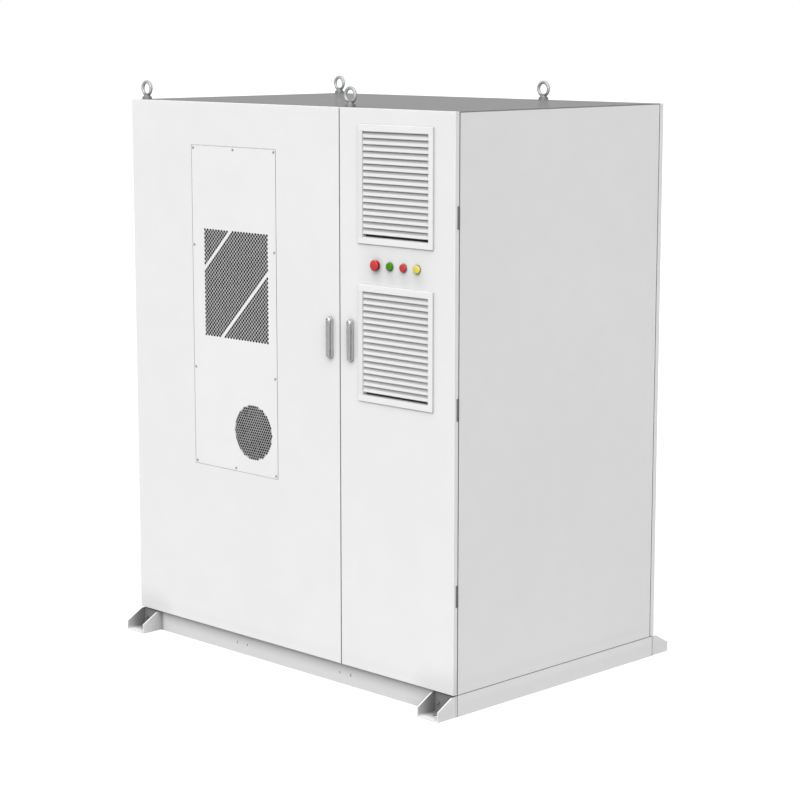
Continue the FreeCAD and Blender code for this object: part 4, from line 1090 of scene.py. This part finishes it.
@dataclass
class Lever:
    """One handle's lever: domed at the head, slim at the tip, with a pocket for the spindle's tongue."""

    side: Side
    points: int = 40
    cap_steps: int = 9
    taper: float = 0.14
    head_share: float = 0.64
    head_run: float = 2.8
    tip_share: float = 0.42
    waist_share: float = 0.34
    front_power: float = 2.3
    back_power: float = 7.0
    heel_slope: float = 0.444
    pocket_half: float = 0.0052
    pocket_reach: float = 0.0050
    pocket_skin: float = 0.0016
    pin_depth: float = 0.003
    pin_radius: float = 0.0021
    pin_half: float = 0.0093
    pin_points: int = 24
    last_turn: float = 80.0
    middle: float = field(init=False)
    half: float = field(init=False)
    back: float = field(init=False)
    thick: float = field(init=False)
    pivot: float = field(init=False)

    def build(self) -> None:
        """Builds the lever inside the room of its CAD solid."""
        node = self.side.of("handle_lever")
        low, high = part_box(node)
        self.middle = middle_of(node).x
        self.half = (high.x - low.x) / 2
        self.back = high.y
        self.thick = high.y - low.y
        self.pivot = high.z - self.half
        form = Form(self.side.of("lever"))
        form.skin([self._section(*station) for station in self._stations(low.z, high.z)])
        lever = form.piece()
        carve(lever, (self._pocket(), self._pin_hole()))
        fit(lever, node, self.side.of("lever"), LEVER_METAL)

    def _stations(self, low: float, high: float) -> list[tuple[float, float, float]]:
        """Places the cross-sections from the tip to the head.

        Args:
            low: The tip's height.
            high: The head's height.

        Returns:
            Each section's height, half width and share of the full thickness.
        """
        tip = self.half * (1 - self.taper)
        stations = []
        for step in range(self.cap_steps + 1):
            turn = math.radians(self.last_turn * (1 - step / self.cap_steps))
            share = self.tip_share + (1 - self.tip_share) * math.cos(turn)
            stations.append((low + tip - tip * math.sin(turn), tip * math.cos(turn), share))
        run = self.head_run * self.half
        dome = high - run
        for step in range(self.cap_steps):
            height = dome + (run - self.half) * step / self.cap_steps
            half = self._half_at(height, low + tip, high)
            stations.append((height, half, self._dome((height - dome) / run)))
        for step in range(self.cap_steps + 1):
            turn = math.radians(self.last_turn * step / self.cap_steps)
            height = high - self.half + self.half * math.sin(turn)
            stations.append((height, self.half * math.cos(turn), self._dome((height - dome) / run)))
        return stations

    def _half_at(self, height: float, low: float, high: float) -> float:
        """Gives half the width between the tip's rounding and the head's."""
        return self.half * (1 - self.taper * (high - self.half - height) / (high - self.half - low))

    def _dome(self, way: float) -> float:
        """Gives the share of the full thickness on the way from the dome's start, 0, to its end, 1."""
        return 1 - (1 - self.head_share) * way**2

    def _section(self, height: float, half: float, share: float) -> list[Point]:
        """Draws one cross-section: crowned in front, nearly flat behind, and cut back at the heel.

        Args:
            height: Where it is.
            half: Half its width.
            share: Its share of the full thickness.

        Returns:
            Its ring of points.
        """
        front = self.thick * share
        heel = max(0.0, self.heel_slope * (height - self.pivot))
        waist = heel + (front - heel) * self.waist_share
        ring = []
        for k in range(self.points):
            turn = 2 * math.pi * k / self.points
            in_front = math.sin(turn) > 0
            power = 2 / (self.front_power if in_front else self.back_power)
            across = math.copysign(abs(math.cos(turn)) ** power, math.cos(turn)) * half
            reach = front - waist if in_front else waist - heel
            out = waist + math.copysign(abs(math.sin(turn)) ** power, math.sin(turn)) * reach
            ring.append((self.middle + across, self.back - out, height))
        return ring

    def _pocket(self) -> bpy.types.Object:
        """Fills the room of the spindle's tongue.

        Returns:
            What the pocket takes out of the lever.
        """
        left, right = self.middle - self.pocket_half, self.middle + self.pocket_half
        low, high = self.pivot - self.pocket_reach, self.pivot + self.pocket_reach
        corners = ((left, low), (right, low), (right, high), (left, high))
        form = Form("tongue_room")
        ends = (self.back + self.pin_depth, self.back - self.thick + self.pocket_skin)
        form.skin([[(x, y, z) for x, z in corners] for y in ends])
        return form.piece()

    def _pin_hole(self) -> bpy.types.Object:
        """Fills the room of the pin that the lever lifts about.

        Returns:
            What the pin's hole takes out of the lever.
        """
        around = circle((self.back - self.pin_depth, self.pivot), self.pin_radius, self.pin_points)
        form = Form("pin_room")
        ends = (self.middle - self.pin_half, self.middle + self.pin_half)
        form.skin([[(x, y, z) for y, z in around] for x in ends])
        return form.piece()


@dataclass
class TurnedHead:
    """A lens or a button: a profile turned about the axis that points out of the door."""

    node: str
    body: str
    finish: Finish
    profile: Sequence[tuple[float, float]]
    stem: float = 0.008
    stem_end: float = 0.0004
    points: int = 56

    def build(self) -> None:
        """Turns the head and the stem behind it."""
        low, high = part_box(self.node)
        middle = (middle_of(self.node).x, middle_of(self.node).z)
        steps = [(radius, low.y + depth) for radius, depth in self.profile]
        steps += [(self.stem, steps[-1][1]), (self.stem, high.y), (self.stem_end, high.y)]
        form = Form(f"{self.node}_head")
        form.skin([[(x, y, z) for x, z in circle(middle, radius, self.points)] for radius, y in steps])
        fit(form.piece(), self.node, self.body, self.finish)


# Profiles from the face inwards: radius and depth behind the face, in metres
LENS_DOME = ((0.0003, 0.0), (0.0060, 0.00015), (0.0105, 0.0006), (0.0134, 0.0013), (0.0146, 0.0022))
LENS_RIM = ((0.0150, 0.0032), (0.0150, 0.0052), (0.0145, 0.0054), (0.0145, 0.0059), (0.0150, 0.0061))
LENS_PROFILE = (*LENS_DOME, *LENS_RIM, (0.0150, 0.0080))
STOP_CAP = ((0.0003, 0.0), (0.0080, 0.00025), (0.0140, 0.0009), (0.0175, 0.0018), (0.0193, 0.0028))
STOP_EDGE = ((0.0200, 0.0040), (0.0200, 0.0052), (0.0194, 0.0060), (0.0166, 0.0066), (0.0160, 0.0074))
STOP_PROFILE = (*STOP_CAP, *STOP_EDGE, (0.0157, 0.0115))


@dataclass
class Plinth:
    """Base channel, foot brackets and their bolts."""

    def build(self) -> None:
        """Dresses the plinth."""
        dress(BASE_PAINT, "base_frame")
        dress(BRACKET_PAINT, "foot_brackets")
        dress(FOOT_BOLT, "foot_bracket_bolts")


@dataclass
class Housing:
    """Frame, panels, roof, lifting eyes and floor."""

    def build(self) -> None:
        """Dresses the housing."""
        dress(WHITE_PAINT, "side_panels", "rear_panels")
        dress(ROOF_SHADE_PAINT, "roof_panel")
        dress(FRAME_PAINT, "body_frame", "equipment_racks")
        dress(GALVANISED, "partition_panel", "floor_plates", "gland_plate")
        dress(EYE_STEEL, "lifting_eye_bolts")
        dress(ZINC, "rear_panel_screws")
        dress(DARK_HINGE, "hinge_frame_leaves")
        dress(BLACK_PLASTIC, "cable_glands")


@dataclass
class LatchSet:
    """One door's handle, latch case and rods."""

    side: Side

    def build(self) -> None:
        """Dresses the handle and its latch."""
        dress(HANDLE_METAL, self.side.of("handle_plate"))
        Lever(self.side).build()
        dress(ZINC, *(self.side.of(part) for part in ("handle_spindle", "upper_rod", "lower_rod")))
        dress(GALVANISED, self.side.of("latch_case"))


@dataclass
class CoolingDoor:
    """Wide left door with the air conditioner."""

    latch: LatchSet = field(default_factory=lambda: LatchSet(Side.LEFT))

    def build(self) -> None:
        """Dresses the door and what it carries."""
        dress(DOOR_PAINT, "left_door_shell")
        dress(COVER_PAINT, "ac_cover_panel")
        dress(SEAL_FOAM, "left_door_seal")
        dress(DARK_HINGE, "left_hinge_leaves")
        dress(COVER_SCREW, "ac_cover_screws")
        dress(GALVANISED, "ac_casing")
        dress(FIN_STOCK, "ac_condenser_coil")
        dress(BLACK_PLASTIC, "ac_fan_frame")
        dress(FAN_PLASTIC, "ac_fan_rotor")
        dress(BLACK_ENAMEL, "ac_compressor")
        self.latch.build()


@dataclass
class VentDoor:
    """Narrow right door with the louvres, fans, lamps and stop button."""

    latch: LatchSet = field(default_factory=lambda: LatchSet(Side.RIGHT))

    def build(self) -> None:
        """Dresses the door and what it carries."""
        dress(DOOR_PAINT, "right_door_shell")
        dress(LOUVRE_PAINT, "louvres")
        dress(SEAL_FOAM, "right_door_seal")
        dress(DARK_HINGE, "right_hinge_leaves")
        dress(FILTER_MAT, "louvre_filters")
        dress(GALVANISED, "vent_fan_frames")
        dress(FAN_PLASTIC, "upper_fan_rotor", "lower_fan_rotor")
        dress(BEZEL, "indicator_collars")
        TurnedHead("stop_button", "stop", STOP_RED, STOP_PROFILE).build()
        for lamp, lens in (("green", LENS_GREEN), ("red", LENS_RED), ("yellow", LENS_YELLOW)):
            TurnedHead(f"{lamp}_lamp", "right_door", lens, LENS_PROFILE).build()
        self.latch.build()


@dataclass
class Equipment:
    """Battery packs and the power units."""

    def build(self) -> None:
        """Dresses what the cabinet holds."""
        dress(PACK_PAINT, "battery_packs")
        dress(CELL_WRAP, "cell_stacks")
        dress(TERMINAL_ORANGE, "pack_terminals", "breaker_lever")
        dress(UNIT_PAINT, "high_voltage_box", "power_converter", "control_box")
        dress(BLACK_PLASTIC, "breaker_block")
        dress(STOP_RED, "isolator_knob")
        dress(RED_ENAMEL, "fire_cylinder")


@dataclass
class Studio:
    """Floor, lamps, world and camera."""

    eye: Point = (6.29673, -6.28522, 2.50988)
    azimuth: float = 44.9643
    elevation: float = 9.5143
    focal: float = 2231.383
    axis_at: tuple[float, float] = (395.981, 395.683)
    picture: float = 800.0
    sensor: float = 36.0
    floor_reach: float = 60.0
    floor_drop: float = 0.0005
    ambient: float = 0.46
    key_azimuth: float = 34.0
    key_elevation: float = 40.0
    key_strength: float = 3.72
    key_spread: float = 80.0

    def build(self) -> None:
        """Sets up the whole studio."""
        self._floor()
        self._key_light()
        self._world()
        self._camera()
        bpy.context.scene.view_settings.view_transform = "Standard"

    def _floor(self) -> None:
        """Lays the floor."""
        mesh = bpy.data.meshes.new("floor")
        reach = self.floor_reach
        corners = [(-reach, -reach, 0.0), (reach, -reach, 0.0), (reach, reach, 0.0), (-reach, reach, 0.0)]
        mesh.from_pydata(corners, [], [tuple(range(len(corners)))])
        mesh.materials.append(FLOOR.material)
        floor = bpy.data.objects.new("floor", mesh)
        floor.location.z = -self.floor_drop
        bpy.context.scene.collection.objects.link(floor)
        floor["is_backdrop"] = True

    def _key_light(self) -> None:
        """Hangs the one soft lamp, low on the camera's side."""
        light = bpy.data.lights.new("key light", "SUN")
        light.energy = self.key_strength
        light.angle = math.radians(self.key_spread)
        lamp = bpy.data.objects.new("key light", light)
        lamp.rotation_euler = (math.radians(90.0 - self.key_elevation), 0.0, math.radians(self.key_azimuth))
        bpy.context.scene.collection.objects.link(lamp)

    def _world(self) -> None:
        """Makes the sky: white where it is seen, dimmer where it lights."""
        world = bpy.data.worlds.new("studio")
        s = Shader(world)
        dim = s.node("ShaderNodeBackground", {}, {"Strength": self.ambient, "Color": (1.0, 1.0, 1.0, 1.0)})
        white = s.node("ShaderNodeBackground", {}, {"Strength": 1.0, "Color": (1.0, 1.0, 1.0, 1.0)})
        s.end(s.node("ShaderNodeMixShader", {}, {0: s.looked_at(), 1: dim, 2: white}, "Shader"))
        bpy.context.scene.world = world

    def _camera(self) -> None:
        """Stands the camera where the photograph was taken from."""
        data = bpy.data.cameras.new("camera")
        data.sensor_width = self.sensor
        data.lens = self.focal * self.sensor / self.picture
        data.shift_x = (self.picture / 2 - self.axis_at[0]) / self.picture
        data.shift_y = (self.axis_at[1] - self.picture / 2) / self.picture
        camera = bpy.data.objects.new("camera", data)
        camera.location = self.eye
        camera.rotation_euler = (math.radians(90.0 - self.elevation), 0.0, math.radians(self.azimuth))
        bpy.context.scene.collection.objects.link(camera)
        bpy.context.scene.camera = camera


def main() -> None:
    """Builds every sub-assembly in order."""
    logging.basicConfig(level=logging.INFO, format="%(message)s")
    cad = tuple(c.copy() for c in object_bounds())
    for assembly in (Plinth(), Housing(), CoolingDoor(), VentDoor(), Equipment(), Studio()):
        assembly.build()
        LOG.info("%s is done", type(assembly).__name__)


if __name__ == "__main__":
    main()
